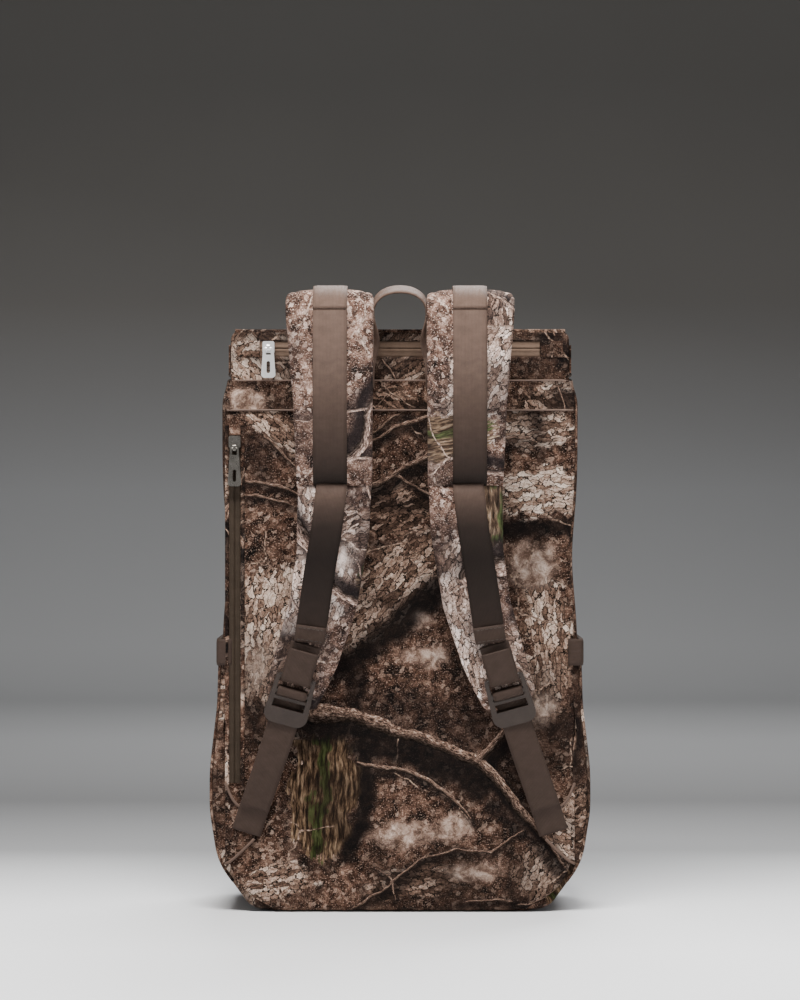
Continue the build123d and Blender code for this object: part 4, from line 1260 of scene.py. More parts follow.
def fold_strips():
    """The turned fabric edges beside the side and front zips."""
    x = (SIDE_TAPE_LOW.x + SIDE_TAPE_HIGH.x) / 2
    z = np.linspace(SIDE_TAPE_LOW.z - 6 * MM, SIDE_TAPE_HIGH.z + 8 * MM, 160)
    for side, name in ((-1, "outer"), (1, "inner")):
        edge = x + side * 5.4 * MM
        centre = np.column_stack(
            [np.full(len(z), edge + side * 1.2 * MM), np.full(len(z), BACK - 0.5 * MM), z]
        )
        obj = flat_strip(
            name + "_zip_fold", centre, (side, 0, 0), (0, -1, 0), 3.4 * MM, 1.0 * MM, (side * 0.3, 0.2)
        )
        on_bag(obj)
    across = np.linspace(FRONT_TAPE_LOW.x - 4 * MM, FRONT_TAPE_HIGH.x + 4 * MM, 110)
    for side, level, name in ((1, FRONT_TAPE_HIGH.z, "upper"), (-1, FRONT_TAPE_LOW.z, "lower")):
        centre = np.column_stack(
            [
                across, np.full(len(across), POCKET_HIGH.y - 0.6 * MM),
                np.full(len(across), level + side * 0.8 * MM),
            ]
        )
        obj = flat_strip(
            name + "_zip_fold", centre, (0, 0, side), (0, 1, 0), 3.4 * MM, 1.0 * MM, (side * 0.3, 0.9)
        )
        on_bag(obj)


def flat_strip(name, centre, across, out, width, high, offset):
    """A low rounded ridge of fabric along a line."""
    u = np.linspace(-1, 1, 7)
    rise = np.sqrt(np.clip(1 - u**2, 0, 1)) * high
    points = centre[:, None] + np.array(across, float) * (u * width / 2)[
        None, :, None
    ] + np.array(out, float) * rise[None, :, None]
    s = lengths(centre)
    cloth = spread((u * width / 2)[None], s[:, None]) + offset
    flip = float(np.cross(across, centre[-1] - centre[0]) @ np.array(out, float)) < 0
    return sheet_piece(name, points, cloth, CAMO, flip=flip)


# ---------------------------------------------------------------- the lid and what closes it
def lid():
    """The lid's top, its walls, the flap down the front, and the webbings over it."""
    edge = 13 * MM
    wide, back, front = LID_HIGH.x, LID_LOW.y, LID_HIGH.y
    corner = 15 * MM
    x, v, rise = face_grid(
        lambda v: rounded_half(v, wide, back, 4 * MM, front, corner),
        lambda x, v: rounded_gap(x, v, wide, back - edge, 4 * MM, front, corner),
        back, front, edge, False, True, 3 * MM,
    )
    swell = 2.2 * MM * smooth(wide - np.abs(x), 5 * MM, 70 * MM) * smooth(
        v - back, 8 * MM, 60 * MM
    ) * smooth(front - v, 8 * MM, 60 * MM)
    z = COLLAR_TOP - edge + rise * edge + swell + wrinkles(x, v, 46 * MM, 0.5 * MM) * rise * smooth(
        v - back, 4 * MM, 20 * MM
    )
    obj = sheet_piece("lid_top", spread(x, v, z), spread(x + 0.1, v - 0.55), CAMO, 1.4 * MM)
    place(obj, "lid", "camo_fabric", "lid_shell")

    rows = np.linspace(COLLAR_TOP - edge, LID_SIDE_LOW, 12)
    route = plan_route(wide, front, corner, back, 3 * MM)
    s = lengths(route)
    grid = np.stack([np.column_stack([route[:, :2], np.full(len(route), z)]) for z in rows])
    cloth = spread(s[None] - 0.9, grid[..., 2] + 0.1)
    place(sheet_piece("lid_wall", grid, cloth, CAMO, 1.4 * MM), "lid", "camo_fabric")
    for side, name in SIDES:
        part = route[(np.sign(route[:, 0]) == side) & (route[:, 1] < front - 2 * MM)].copy()
        part[:, 2] = LID_SIDE_LOW
        place(tube_piece(name + "_lid_hem", part, 1.9 * MM, BINDING, printed=False), "lid", "camo_fabric")

    flap_low = LID_LOW.z
    half = wide - corner * 0.25
    x, v, rise = face_grid(
        lambda v: rounded_half(v, half, flap_low, 30 * MM),
        lambda x, v: rounded_gap(x, v, half, flap_low, 30 * MM),
        flap_low, LID_SIDE_LOW + 3 * MM, 3 * MM, pitch=3 * MM,
    )
    wave = 0.9 * MM * np.sin(x / (34 * MM)) * smooth(LID_SIDE_LOW - v, 0, 70 * MM)
    y = front - 2.6 * MM + rise * 2.2 * MM + np.clip(
        wave + wrinkles(x, v, 50 * MM, 0.5 * MM), -1.6 * MM, 0.0
    )
    obj = sheet_piece("lid_flap", spread(x, y, v), spread(-x - 0.55, v + 0.35), CAMO, 2.0 * MM, flip=True)
    place(obj, "lid", "camo_fabric")
    corner_path = rounded_path(
        [
            (half, LID_SIDE_LOW + 2 * MM), (half, flap_low), (-half, flap_low),
            (-half, LID_SIDE_LOW + 2 * MM),
        ], [30 * MM] * 2
    )
    corner_path = resampled(corner_path, step=3 * MM)
    route = np.column_stack(
        [corner_path[:, 0], np.full(len(corner_path), front - 1.9 * MM), corner_path[:, 1]]
    )
    place(
        tube_piece("flap_binding", route, 2.1 * MM, BINDING, printed=False, reference=(0, 1, 0)), "lid",
        "camo_fabric",
    )

    route = resampled(
        np.array(
            [
                (wide - 4 * MM, -72.2 * MM, COLLAR_TOP - 2.0 * MM),
                (-wide + 4 * MM, -72.2 * MM, COLLAR_TOP - 2.0 * MM),
            ]
        ),
        step=4 * MM,
    )
    obj = tube_piece("lid_hinge_seam", route, 2.5 * MM, CAMO, (0.2, 0.9), sides=12)
    place_blend(obj, "bag", "lid", (0, -74.2 * MM, COLLAR_TOP), (0, -71 * MM, COLLAR_TOP), "camo_fabric")

    path = rounded_path(
        [(back + 1 * MM, COLLAR_TOP + 2.2 * MM), (front, COLLAR_TOP + 1.4 * MM), (front, 339 * MM)], [edge]
    )
    path = resampled(path, step=3 * MM)
    swell = 2.0 * MM * smooth(path[:, 0] - back, 8 * MM, 60 * MM) * smooth(
        front - path[:, 0], 8 * MM, 60 * MM
    )
    lift = 0.9 * MM
    for side, name in SIDES:
        top = path[:, 1] > COLLAR_TOP - edge
        y = path[:, 0] + np.where(path[:, 0] > front - 3 * MM, lift, 0.0)
        z = path[:, 1] - np.where(top, 1.2 * MM, 0) + swell * top
        centre = np.column_stack([np.full(len(path), side * TONGUE_X), y, z])
        obj = band_piece(name + "_lid_webbing", centre, (1, 0, 0), WEB_WIDTH, WEB, WEBBING)
        place(obj, "lid", "webbing", *once(side, "lid_webbings"))
        hang = np.array(
            [
                (side * TONGUE_X, front + lift, 340.5 * MM),
                (side * TONGUE_X, front + lift, TONGUE_LOW + 1 * MM),
            ]
        )
        obj = band_piece(name + "_tongue_webbing", hang, (1, 0, 0), WEB_WIDTH, WEB, WEBBING)
        place_blend(
            obj, "lid", name + "_tongue", (0, front, 341 * MM), (
                0, front, 335.5 * MM
            ), "webbing", name + "_tongue"
        )
        tip = np.array(
            [
                (side * TONGUE_X, front + 2.3 * MM, 290 * MM),
                (side * TONGUE_X, front + 2.2 * MM, TONGUE_LOW + 0.6 * MM),
            ]
        )
        obj = band_piece(name + "_tongue_tab", tip, (1, 0, 0), WEB_WIDTH - 0.6 * MM, 1.3 * MM, WEBBING)
        place(obj, name + "_tongue", "webbing")
        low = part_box("front_webbings")
        strip = np.array(
            [(side * TONGUE_X, FRONT + 0.9 * MM, low[0].z), (side * TONGUE_X, FRONT + 0.9 * MM, low[1].z)]
        )
        obj = band_piece(name + "_front_webbing", strip, (1, 0, 0), WEB_WIDTH, WEB, WEBBING)
        place(obj, "bag", "webbing", *once(side, "front_webbings"))


# ---------------------------------------------------------------- pockets
def front_pocket():
    """The zipped pocket on the front: a shallow boxed bag with piped edges."""
    wide = POCKET_HIGH.x
    low, high = POCKET_LOW.z, POCKET_HIGH.z
    corner = 14 * MM
    half = lambda v: rounded_half(v, wide, low, corner, high, corner)
    gap = lambda x, v: rounded_gap(x, v, wide, low, corner, high, corner)
    x, z, rise = face_grid(half, gap, low, high, 9 * MM, True, True, 2.4 * MM)
    swell = 2.4 * MM * smooth(gap(x, z), 6 * MM, 50 * MM) * (z < 195 * MM)
    near_zip = smooth(np.abs(z - 211 * MM), 8 * MM, 26 * MM)
    crumple = wrinkles(x, z, 34 * MM, 0.9 * MM) * near_zip
    y = POCKET_HIGH.y - 9 * MM + rise * 9 * MM + (swell + crumple) * near_zip * rise - 0.4 * MM
    points = spread(x, y, z)
    obj = sheet_piece("front_pocket_face", points, spread(0.2 - x, z + 0.72), CAMO, flip=True)
    on_bag(obj, "front_pocket")
    outline = rounded_path(
        [(0, high), (wide, high), (wide, low), (-wide, low), (-wide, high), (0, high)], [corner] * 4
    )
    outline = resampled(outline, count=260)
    s = lengths(outline)
    depth = np.linspace(FRONT - 1 * MM, POCKET_HIGH.y - 9 * MM, 9)
    grid = np.stack(
        [np.column_stack([outline[:, 0], np.full(len(outline), y), outline[:, 1]]) for y in depth]
    )
    cloth = spread(s[None] - 0.3, grid[..., 1] - 0.3)
    on_bag(sheet_piece("front_pocket_wall", grid, cloth, CAMO, flip=True))
    for name, y, radius in (
        ("pocket_front_piping", POCKET_HIGH.y - 8 * MM, 1.5 * MM),
        ("pocket_seam_piping", FRONT + 0.8 * MM, 1.2 * MM),
    ):
        route = np.column_stack([outline[:, 0], np.full(len(outline), y), outline[:, 1]])
        on_bag(tube_piece(name, route, radius, CAMO, (0.4, 0.0), (0, 1, 0)))


BOTTLE_OUTLINE = [
    (153.4, 228.5), (154.9, 175.0), (161.3, 120.0), (161.3, 85.0), (154.3, 41.0), (125.0, 1.2), (108.0, 1.2)
]
BOTTLE_RADII = [150.0, 200.0, 120.0, 60.0, 20.0]


def bottle_pockets():
    """The two open pockets at the sides, each with a bound mouth and its webbing."""
    flat = rounded_path(np.array(BOTTLE_OUTLINE) * MM, [r * MM for r in BOTTLE_RADII])
    flat = resampled(flat, step=2.6 * MM)
    t = tangents(flat)
    normal = np.column_stack([-t[:, 1], t[:, 0]])
    back, front = BOTTLE_LOW.y + 0.0 * MM, BOTTLE_HIGH.y
    rear, corner = 7 * MM, 24 * MM
    rear_top = 145 * MM
    angle = np.linspace(0, math.pi / 2, 7)
    wall_y = np.linspace(back + rear, front - corner, 34)
    for side, name in SIDES:
        grid = []
        for (x, z), n in zip(flat, normal):
            reach = 16 * MM - 15 * MM * float(smooth(z, rear_top - 12 * MM, rear_top + 8 * MM))
            profile = [(rear + reach * k, back) for k in (1.0, 0.66, 0.33)]
            profile += [(rear * (1 - math.sin(a)), back + rear * (1 - math.cos(a))) for a in angle]
            loose = 1.0 * MM * smooth(z, 150 * MM, 228 * MM)
            profile += [(-loose * math.sin(math.pi * (y - back) / (front - back)), y) for y in wall_y[1:-1]]
            profile += [(corner * (1 - math.cos(a)), front - corner * (1 - math.sin(a))) for a in angle]
            profile += [(corner + 12 * MM * k, front) for k in (0.5, 1.0)]
            row = [
                (side * (x - abs(n[0]) * inset), y, z - n[1] * inset * (1 if n[1] < 0 else 0))
                for inset, y in profile
            ]
            grid.append(row)
        grid = np.array(grid)
        s = lengths(flat)
        uu = np.array([lengths(row) - lengths(row)[3] for row in grid]) + 8 * MM
        vv = np.repeat(s[:, None], uu.shape[1], 1)
        soft = wrinkles(uu + side * 0.4, vv, 34 * MM, 0.8 * MM) * smooth(uu, 14 * MM, 34 * MM)
        grid[..., 0] += side * soft * smooth(vv, 4 * MM, 20 * MM)
        cloth = spread(uu + side * 0.62, 0.5 - vv)
        obj = sheet_piece(name + "_pocket_cloth", grid, cloth, CAMO, 1.2 * MM, flip=side > 0)
        on_bag(obj, name + "_pocket")
        mouth = grid[0, 3:-2] + (0, 0, 0.3 * MM)
        on_bag(tube_piece(name + "_pocket_mouth", mouth, 1.5 * MM, BINDING, printed=False))
        upto = int(np.argmax(flat[:, 1] < 24 * MM))
        rim = grid[:upto, 6] + np.array([side * 0.6 * MM, -0.4 * MM, 0.0])
        on_bag(tube_piece(name + "_pocket_piping", rim, 1.3 * MM, CAMO, (side * 0.2, 0.3), (0, 1, 0)))
        y0 = BAND_LOW.y + 0.8 * MM
        x1 = BAND_HIGH.x - 2.6 * MM
        z = (BAND_LOW.z + BAND_HIGH.z) / 2 + 2 * MM
        turn = rounded_path(
            np.array([(HALF - 6 * MM, y0 - 1.6 * MM), (x1, y0 - 1.6 * MM), (x1, BAND_HIGH.y)]), [4 * MM]
        )
        centre = np.column_stack([side * turn[:, 0], turn[:, 1], np.full(len(turn), z)])
        obj = band_piece(name + "_pocket_band", centre, (0, 0, 1), 22.6 * MM, WEB, WEBBING, dark=FIXED_PAINTED_SHADE)
        place(obj, "bag", "webbing", *once(side, "pocket_bands"))


# ---------------------------------------------------------------- the handle
def handle():
    """The haul handle: one webbing, sewn flat to the yoke, twisting into an arch."""
    right = [
        (32, -76.4, 443.5), (32, -79, 446), (32, -84, 452), (31.5, -87, 462), (29, -87.3, 474),
        (25.5, -87.8, 486), (23.2, -88.3, 497), (22.8, -88.8, 508),
    ]
    angles = np.radians(np.linspace(10, 90, 9))
    right += [(22.6 * math.cos(a) ** 0.85, -89.0, 508 + 17.0 * math.sin(a)) for a in angles]
    points = np.array(right, float) * MM
    both = np.vstack([points, points[:-1][::-1] * (-1, 1, 1)])
    both = resampled(both, step=5 * MM)
    turn = smooth(both[:, 2], 468 * MM, 507 * MM)[:, None]
    sewn = np.column_stack([np.sign(both[:, 0]), np.zeros(len(both)), np.zeros(len(both))])
    sewn[np.abs(both[:, 0]) < 20 * MM] = (0, 1, 0)
    arch = np.array([0.0, math.cos(0.34), math.sin(0.34)])
    across = unit(sewn * (1 - turn) + arch * turn)
    obj = band_piece("handle_webbing", both, across, 21 * MM, 2.6 * MM, WEBBING, step=2 * MM)
    place_blend(
        obj, "bag", "handle", (0, -87 * MM, 491 * MM), (0, -87 * MM, 507 * MM), "webbing", "handle_legs",
        "handle_loop",
    )


# ---------------------------------------------------------------- the shoulder straps
STRAP_PATH = [(-98.5, 463), (-109, 516), (-147, 516), (-150, 440), (-140, 370), (-122, 285), (-92.3, 172)]
STRAP_RADII = [15, 17, 200, 250, 300]
HALF_THICK = 7 * MM
SEAM = 359 * MM
LOWER_WEBBING = [(56, 362), (60, 327), (67, 286), (75.5, 230)]


def strap_centre(step=2 * MM):
    """The strap's middle line from the bag, over the top and down: y and z."""
    path = rounded_path(np.array(STRAP_PATH, float) * MM, [r * MM for r in STRAP_RADII])
    return resampled(path, step=step)


def outward(path):
    """The direction away from the strap's inner face, in y and z."""
    t = tangents(path)
    return np.column_stack([t[:, 1], -t[:, 0]])


def pad_piece(name, side, path, inner, outer, thick_out, thick_in, offset, groove=True):
    """A padded band between two edges, rounded at its sides, with a sunk groove near each edge where the
    real strap is stitched.
    """
    normal = outward(path)
    s = lengths(path)
    t = np.linspace(-1, 1, 40)
    u = np.sin(1.3 * t) / math.sin(1.3)
    middle = (inner + outer) / 2
    half = (outer - inner) / 2
    body = (1 - np.abs(u) ** 3.6) ** (1 / 2.4)
    gap = (1 - np.abs(u))[None] * half[:, None]
    dent = 1.0 * MM * bell(gap, 6.0 * MM, 1.5 * MM) if groove else 0.0
    x = middle[:, None] + u[None] * half[:, None]
    soft = wrinkles(x, s[:, None] + side, 26 * MM, 0.5 * MM)
    face = body[None] * thick_out[:, None] - dent * smooth(thick_out, 0, HALF_THICK)[:, None] + (
        soft - 0.5 * MM
    ) * body[None] * 0.7
    under = -body[None] * thick_in[:, None] + dent * 0.7 + (soft + 0.3 * MM) * body[None] * 0.5
    xs = np.concatenate([x, x[:, ::-1][:, 1:-1]], 1)
    hs = np.concatenate([face, under[:, ::-1][:, 1:-1]], 1)
    points = np.stack(
        [
            side * xs,
            path[:, 0, None] + normal[:, 0, None] * hs,
            path[:, 1, None] + normal[:, 1, None] * hs,
        ],
        -1,
    )
    around = np.concatenate([x, 2 * x[:, -1:] - x[:, ::-1][:, 1:-1]], 1)
    cloth = np.stack([around + offset[0], s[:, None] + 0 * around + offset[1]], -1)
    rings = points if side < 0 else points[:, ::-1]
    cloth = cloth if side < 0 else cloth[:, ::-1]
    # the pads take the lighter copy of the print, with its painted light
    obj = closed_piece(name, rings, cloth, CAMO_PAD_PAINTED_LIGHT)
    return obj


def upper_swell(path):
    """How much the upper pad's face stands out or back: least at the top, most at its middle."""
    z = path[:, 1]
    falling = smooth(-path[:, 0], 120 * MM, 146 * MM)
    return falling * (1.8 * MM * bell(z, 432 * MM, 34 * MM) - 2.4 * MM * bell(z, 512 * MM, 30 * MM))


def strap(side, name):
    """One shoulder strap: root, two padded lengths, their webbings and the stitched turn at the lower
    webbing's end.
    """
    path = strap_centre()
    top = int(np.argmax(path[:, 1]))
    falling = np.arange(len(path)) > top
    seam_at = int(np.argmax(falling & (path[:, 1] < SEAM)))
    upper = path[: seam_at + 1]
    z = upper[:, 1]
    inner = np.interp(z, np.array([350, 530]) * MM, np.array([23.0, 21.6]) * MM)
    outer = np.interp(z, np.array([350, 430, 500, 530]) * MM, np.array([84.8, 88.0, 94.0, 94.5]) * MM)
    s = lengths(upper)
    left_over = s[-1] - s
    crest = 3.0 * MM * bell(s, s[top], 9 * MM)
    inner, outer = inner + crest * 0.5, outer - crest
    thick = HALF_THICK * (1 - 0.95 * np.exp(-((left_over / (6.5 * MM)) ** 1.5)))
    thick *= 0.45 + 0.55 * smooth(s, 0, 20 * MM)
    swell = upper_swell(upper)
    thick += swell
    thick_in = HALF_THICK * (1 - 0.5 * np.exp(-((left_over / (4 * MM)) ** 2))) * (
        0.45 + 0.55 * smooth(s, 0, 20 * MM)
    )
    obj = pad_piece(
        name + "_upper_pad", side, upper, inner, outer, thick, thick_in,
        (side * 0.35 + 0.1, 0.15 * side + 0.2),
    )
    place(obj, name + "_strap", "camo_fabric", name + "_pad_upper")

    lower = path[seam_at - 1 :]
    z = lower[:, 1]
    inner = np.interp(
        z, np.array([165, 174, 190, 210, 258, 319, 360]) * MM,
        np.array([82, 70, 61, 52, 36, 25.5, 23.5]) * MM,
    )
    outer = np.interp(
        z, np.array([165, 170, 176, 190, 267, 307, 360]) * MM,
        np.array([97, 103, 109, 113, 91, 85.5, 84.5]) * MM,
    )
    s = lengths(lower)
    rise = 1 - 0.9 * np.exp(-((s / (4.0 * MM)) ** 1.5))
    ending = np.sqrt(np.clip(1 - (1 - np.clip((s[-1] - s) / (9 * MM), 0, 1)) ** 2, 0.02, 1))
    thick = HALF_THICK * rise * ending
    obj = pad_piece(
        name + "_lower_pad", side, lower, inner, outer, thick, thick, (side * 0.35 - 0.5, 0.3 - 0.2 * side)
    )
    place(obj, name + "_strap", "camo_fabric", name + "_pad_lower")

    normal = outward(path)
    skin = path + normal * (HALF_THICK + 0.55 * WEB + upper_swell(path) * (path[:, 1] > SEAM))[:, None]
    band = skin[: seam_at]
    s_full = lengths(path)[: seam_at]
    sink = 6.3 * MM * np.exp(-(((s_full[-1] - s_full) / (6.5 * MM)) ** 1.5))
    band = band - normal[: seam_at] * sink[:, None]
    centre = np.column_stack([np.full(len(band), side * 57.5 * MM), band])
    obj = band_piece(name + "_upper_webbing", centre, (1, 0, 0), 28 * MM, WEB, WEBBING, dark=UPPER_PAINTED_SHADE)
    place(obj, name + "_strap", "webbing", name + "_webbing_upper")
    fold = skin[4:seam_at]
    normal_fold = normal[4:seam_at]
    keep = (np.arange(len(fold)) + 4 <= top) | (fold[:, 1] > 503.5 * MM)
    layer = fold[keep] + normal_fold[keep] * 1.3 * MM
    centre = np.column_stack([np.full(len(layer), side * 57.5 * MM), layer])
    obj = band_piece(name + "_doubled_webbing", centre, (1, 0, 0), 28.2 * MM, 1.5 * MM, WEBBING)
    place(obj, name + "_strap", "webbing")

    route = resampled(rounded_path(np.array(LOWER_WEBBING, float) * MM, [300 * MM] * 2), step=1 * MM)
    part = (np.arange(len(path)) >= seam_at - 2) & (path[:, 1] > 231 * MM)
    low = skin[part]
    x = np.interp(-low[:, 1], -route[:, 1], route[:, 0])
    s = lengths(low)
    dip = 5.2 * MM * np.exp(-((s / (4.2 * MM)) ** 1.6))
    low = low - normal[part] * dip[:, None]
    centre = np.column_stack([side * x, low])
    obj = band_piece(name + "_lower_webbing", centre, (1, 0, 0), 25.5 * MM, WEB, WEBBING, dark=LOWER_PAINTED_SHADE)
    place(obj, name + "_strap", "webbing", name + "_webbing_lower")
    end = centre[-8:] + np.column_stack([np.zeros(8), normal[part][-8:]]) * 1.6 * MM
    obj = band_piece(name + "_webbing_turn", end, (1, 0, 0), 25.5 * MM, 1.7 * MM, WEBBING, dark=FIXED_PAINTED_SHADE)
    place(obj, name + "_strap", "webbing")
    rows = []
    for k in (-7, -2):
        t = unit(centre[k + 1] - centre[k - 1])
        a = unit(np.array([1.0, 0, 0]) - t * t[0])
        out = np.array([0, *normal[part][k]])
        at = centre[k] + out * 2.6 * MM
        rows.append((np.array([at - a * 11 * MM, at + a * 11 * MM]), out))
    place(stitch_piece(name + "_turn_stitches", rows, DARK_THREAD), name + "_strap", "webbing")

    root = rounded_path(
        np.array([(-74.5, 433), (-87, 438), (-95, 452), (-99.5, 468)]) * MM, [8 * MM, 14 * MM]
    )
    root = resampled(root, step=1.6 * MM)
    s = lengths(root) / lengths(root)[-1]
    inner = (44 - 19 * smooth(s, 0.25, 1)) * MM
    outer = (78 + 10 * smooth(s, 0.25, 1)) * MM
    thick = (4.0 + 1.6 * smooth(s, 0.3, 1)) * MM
    obj = pad_piece(
        name + "_strap_root", side, root, inner, outer, thick, thick, (side * 0.2 - 0.2, 0.9), groove=False
    )
    place_blend(
        obj, "bag", name + "_strap", (side * 57 * MM, -79 * MM, 435 * MM), (
            side * 57 * MM, -94 * MM, 452 * MM
        ), "camo_fabric",
        *once(side, "strap_roots"),
    )


# ---------------------------------------------------------------- the adjusters
LOCK_ORIGIN = np.array([86.5, -111.5, 199.0]) * MM
LOCK_DOWN = unit(np.array([13.0, 11.6, -44.0]))


def lock_point(side, y, z, x=0.0):
    """A place given in the ladder lock's own frame: up the strap, away from the bag, across."""
    away = unit(np.array([0.0, LOCK_DOWN[2], -LOCK_DOWN[1]]))
    across = np.cross(away, LOCK_DOWN)
    point = LOCK_ORIGIN - LOCK_DOWN * y + away * z + across * x
    return point * (side, 1, 1)


def adjuster(side, name):
    """The webbing loop on the lock's bar, the webbing threaded through it, and the wing."""
    away = unit(np.array([0.0, LOCK_DOWN[2], -LOCK_DOWN[1]]))
    across = np.cross(away, LOCK_DOWN) * (side, 1, 1)
    r = 3.9 * MM
    loop = rounded_path(
        [np.array(p) * MM for p in [(30, -3.9), (-3.9, -3.9), (-3.9, 3.9), (26, 4.4)]], [r - 0.01 * MM] * 2
    )
    centre = np.array([lock_point(side, y, z) for y, z in loop])
    obj = band_piece(
        name + "_loop_webbing", centre, across, WEB_WIDTH, WEB, WEBBING, step=1.2 * MM, dark=FIXED_PAINTED_SHADE
    )
    place(obj, name + "_strap", "webbing", name + "_bar_loop")

    thread = rounded_path(
        [np.array(p) * MM for p in [(-33, -4.4), (-9.4, -4.0), (-9.2, 3.6), (-15.9, 3.8), (-16.2, -2.6)]], [
            2.2 * MM, 2.2 * MM, 1.4 * MM
        ]
    )
    centre = np.array([lock_point(side, y, z) for y, z in thread])
    obj = band_piece(
        name + "_threaded_cloth", centre, across, 25 * MM, 1.5 * MM, WEBBING, step=1.0 * MM, dark=FIXED_PAINTED_SHADE
    )
    place(obj, name + "_lock", "webbing", name + "_threaded_webbing")

    start = lock_point(side, -30 * MM, -4.2 * MM)
    spots = [
        start, np.array([side * 104.5, -96.6, 141]) * MM, np.array([side * 122.2, -83.2, 90]) * MM,
        np.array([side * 129.6, -78.9, 67.5]) * MM,
    ]
    spots = smooth_curve(np.array(spots), 40)
    obj = band_piece(name + "_under_webbing", spots, (1, 0, 0), WEB_WIDTH, WEB, WEBBING, dark=FIXED_PAINTED_SHADE)
    place_blend(
        obj, "bag", name + "_strap", (side * 127 * MM, -80 * MM, 76 * MM), (
            side * 115 * MM, -90 * MM, 112 * MM
        ), "webbing",
        *once(side, "wing_webbings"),
    )
    count = int(np.argmax(spots[:, 2] < 87 * MM))
    tail = spots[:count] + np.array([0, -1.75 * MM, -0.4 * MM])
    obj = band_piece(name + "_tail_webbing", tail, (1, 0, 0), WEB_WIDTH, WEB, WEBBING, dark=FIXED_PAINTED_SHADE)
    place(obj, name + "_strap", "webbing", name + "_adjuster_webbing")

    top = smooth_curve(
        np.array(
            [(147.5, -76, 109), (141, -77, 95), (133, -77.6, 88), (122, -77.6, 84)]
        ) * MM * (side, 1, 1),
        16,
    )
    low = smooth_curve(
        np.array(
            [(147.5, -76, 41), (142, -77, 44), (131, -77.4, 54), (123, -77.6, 62)]
        ) * MM * (side, 1, 1),
        16,
    )
    rows = np.linspace(0, 1, 16)
    grid = top[None] * (1 - rows)[:, None, None] + low[None] * rows[:, None, None]
    grid[..., 1] -= (1.6 * MM * np.sin(math.pi * rows))[:, None] * np.sin(
        math.pi * np.linspace(0.05, 0.9, 16)
    )[None]
    cloth = np.stack([grid[..., 0] * side + 0.15 * side, grid[..., 2] - 0.3], -1)
    obj = sheet_piece(name + "_wing_cloth", grid, cloth, CAMO, 1.6 * MM, flip=side < 0)
    on_bag(obj, name + "_wing")
    for edge, tag in ((top, "upper"), (low, "lower")):
        obj = tube_piece(
            f"{name}_wing_{tag}_piping", edge + (0, -0.6 * MM, 0), 1.2 * MM, WEBBING, printed=False
        )
        on_bag(obj)


def smooth_curve(points, count):
    """A curve through given points."""
    points = np.asarray(points, float)
    padded = np.vstack([2 * points[0] - points[1], points, 2 * points[-1] - points[-2]])
    out = []
    for i in range(1, len(padded) - 2):
        a, b, c, d = padded[i - 1 : i + 3]
        for t in np.linspace(0, 1, 12, endpoint=False):
            out.append(
                0.5 * (
                    2 * b + (c - a) * t + (2 * a - 5 * b + 4 * c - d) * t**2 + (
                        3 * b - a - 3 * c + d
                    ) * t**3
                )
            )
    out.append(points[-1])
    return resampled(np.array(out), count=count)


# ---------------------------------------------------------------- what the CAD model keeps
def finish_hardware():
    """Finishes for the solids that are shown as they are."""
    looks = {
        PLASTIC: ("left_ladder_lock", "right_ladder_lock"),
        NICKEL: ("top_slider", "top_pull", "front_slider", "front_pull"),
        GUNMETAL: ("side_slider", "side_pull"),
        STEEL: ("left_magnet_cap", "right_magnet_cap", "magnet_bases"),
        FOAM: ("back_foam",),
        BOARD: ("frame_sheet", "bottom_board", "lid_board"),
    }
    for material, names in looks.items():
        for name in names:
            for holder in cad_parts[name].material_slots:
                holder.material = material


# ---------------------------------------------------------------- stage, light and camera
CAMERA_PLACE = (0.0, -2.675, 0.348)
CAMERA_LENS = 110.8
SWEEP_PAINTED_SHADE_GREYS = (
    # how far up the sweep, as the camera sees it, and the grey there: painted shade, pale on the floor and
    # darker up the wall with a lighter band part way
    (0.0, 0.96),
    (0.045, 0.94),
    (0.09, 0.70),
    (0.148, 0.20),
    (0.224, 0.088),
    (0.36, 0.19),
    (0.552, 0.28),
    (0.64, 0.235),
    (0.716, 0.118),
    (0.80, 0.086),
)
LIGHTS = (
    # name, place, what it points at, size, power in watts, colour
    ("key", (-0.18, -0.95, 2.05), (0, 0, 0.42), (1.1, 0.6), 96, (1.0, 0.975, 0.95)),
    ("front_fill", (0.0, -2.4, 0.9), (0, 0, 0.30), (1.6, 0.9), 5),
    ("left_fill", (-1.7, -0.6, 0.7), (0, 0, 0.28), (0.8, 1.2), 4),
    ("right_fill", (1.8, -0.6, 0.7), (0, 0, 0.28), (0.8, 1.2), 5),
    ("rear_top", (0.4, 1.5, 2.1), (0, 0.05, 0.3), (1.6, 0.9), 84),
)


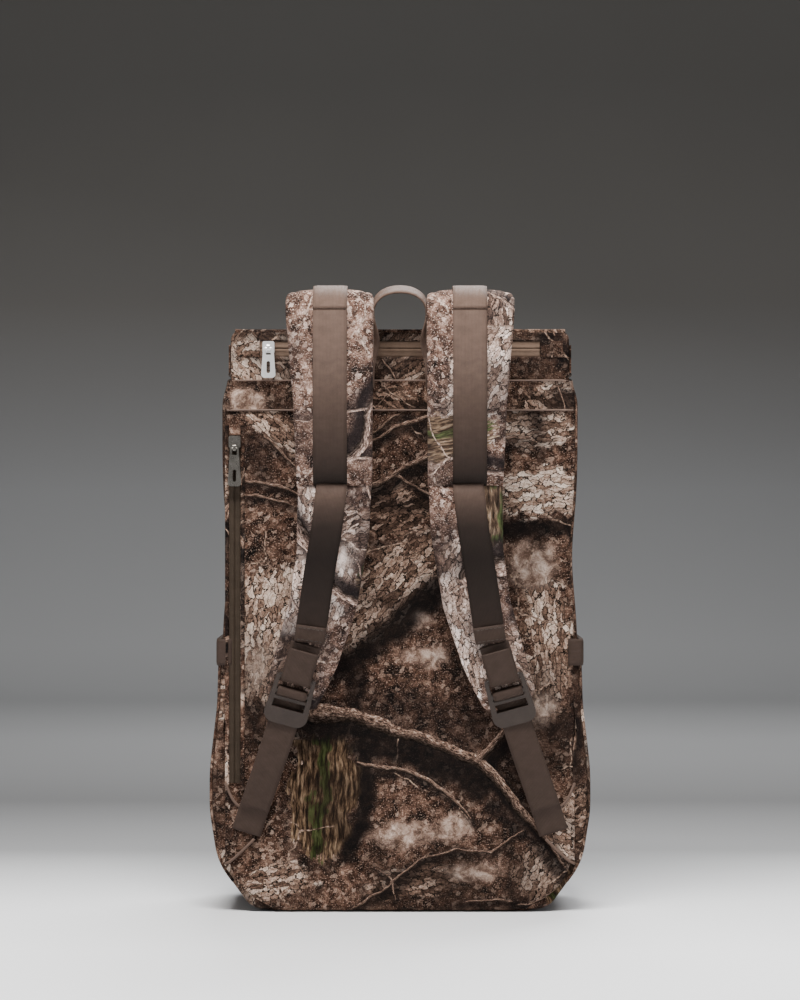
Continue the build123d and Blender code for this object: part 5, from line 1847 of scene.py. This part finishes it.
def studio():
    """A pale floor that sweeps up into a grey wall whose greys are painted shade, soft lights and the
    camera.
    """
    profile = rounded_path(np.array([(-5.0, -0.0005), (3.2, -0.0005), (3.2, 4.0)]), [0.5], 40 * MM)
    profile = resampled(profile, step=80 * MM)
    x = np.linspace(-5.0, 5.0, 12)
    points = np.stack([np.column_stack([np.full(len(profile), a), profile]) for a in x])
    sweep = link_mesh("studio_sweep", points.reshape(-1, 3), grid_faces(*points.shape[:2])[:, ::-1])
    g = Graph("studio_sweep")
    position = g.tree.nodes.new("ShaderNodeNewGeometry").outputs["Position"]
    _, y, z = g.split(position)
    # painted shade: the sweep's grey is set by how far up and back each point is
    far = g.add(g.mul(g.add(y, 0.6), 0.15), g.mul(z, 0.20))
    cool, warm = np.array([0.985, 1.0, 1.02]), np.array([1.05, 1.0, 0.94])
    stops = [(at, tuple(grey * (cool if at < 0.7 else warm))) for at, grey in SWEEP_PAINTED_SHADE_GREYS]
    tone = g.ramp(far, stops)
    tone = g.mix(0.03, tone, g.mul(g.noise(position, 3.0, 2.0), 0.3))
    g.shade(tone, 0.85)
    sweep.data.materials.append(g.material)

    def area(name, place_at, aim, size, power, colour=(1, 1, 1)):
        light = bpy.data.lights.new(name, "AREA")
        light.shape = "RECTANGLE"
        light.size, light.size_y = size
        light.energy = power
        light.color = colour
        obj = bpy.data.objects.new(name, light)
        bpy.context.scene.collection.objects.link(obj)
        obj.location = place_at
        direction = np.array(aim, float) - np.array(place_at, float)
        yaw = math.atan2(direction[1], direction[0])
        pitch = math.atan2(direction[2], math.hypot(direction[0], direction[1]))
        obj.rotation_euler = (math.pi / 2 + pitch, 0, yaw - math.pi / 2)
        return obj

    for light in LIGHTS:
        area(*light)
    world = bpy.data.worlds.new("studio")
    world.use_nodes = True
    world.node_tree.nodes["Background"].inputs[0].default_value = (0.60, 0.62, 0.66, 1)
    world.node_tree.nodes["Background"].inputs[1].default_value = 0.10
    bpy.context.scene.world = world

    camera = bpy.data.cameras.new("camera")
    camera.lens = CAMERA_LENS
    camera.sensor_width = 36.0
    camera_object = bpy.data.objects.new("camera", camera)
    bpy.context.scene.collection.objects.link(camera_object)
    camera_object.location = CAMERA_PLACE
    camera_object.rotation_euler = (math.pi / 2, 0, 0)
    bpy.context.scene.camera = camera_object


back_panel()
yoke()
gussets()
front_panel()
mouth()
collar()
zips()
lid()
front_pocket()
bottle_pockets()
handle()
for strap_side, strap_name in SIDES:
    strap(strap_side, strap_name)
    adjuster(strap_side, strap_name)
finish_hardware()
studio()
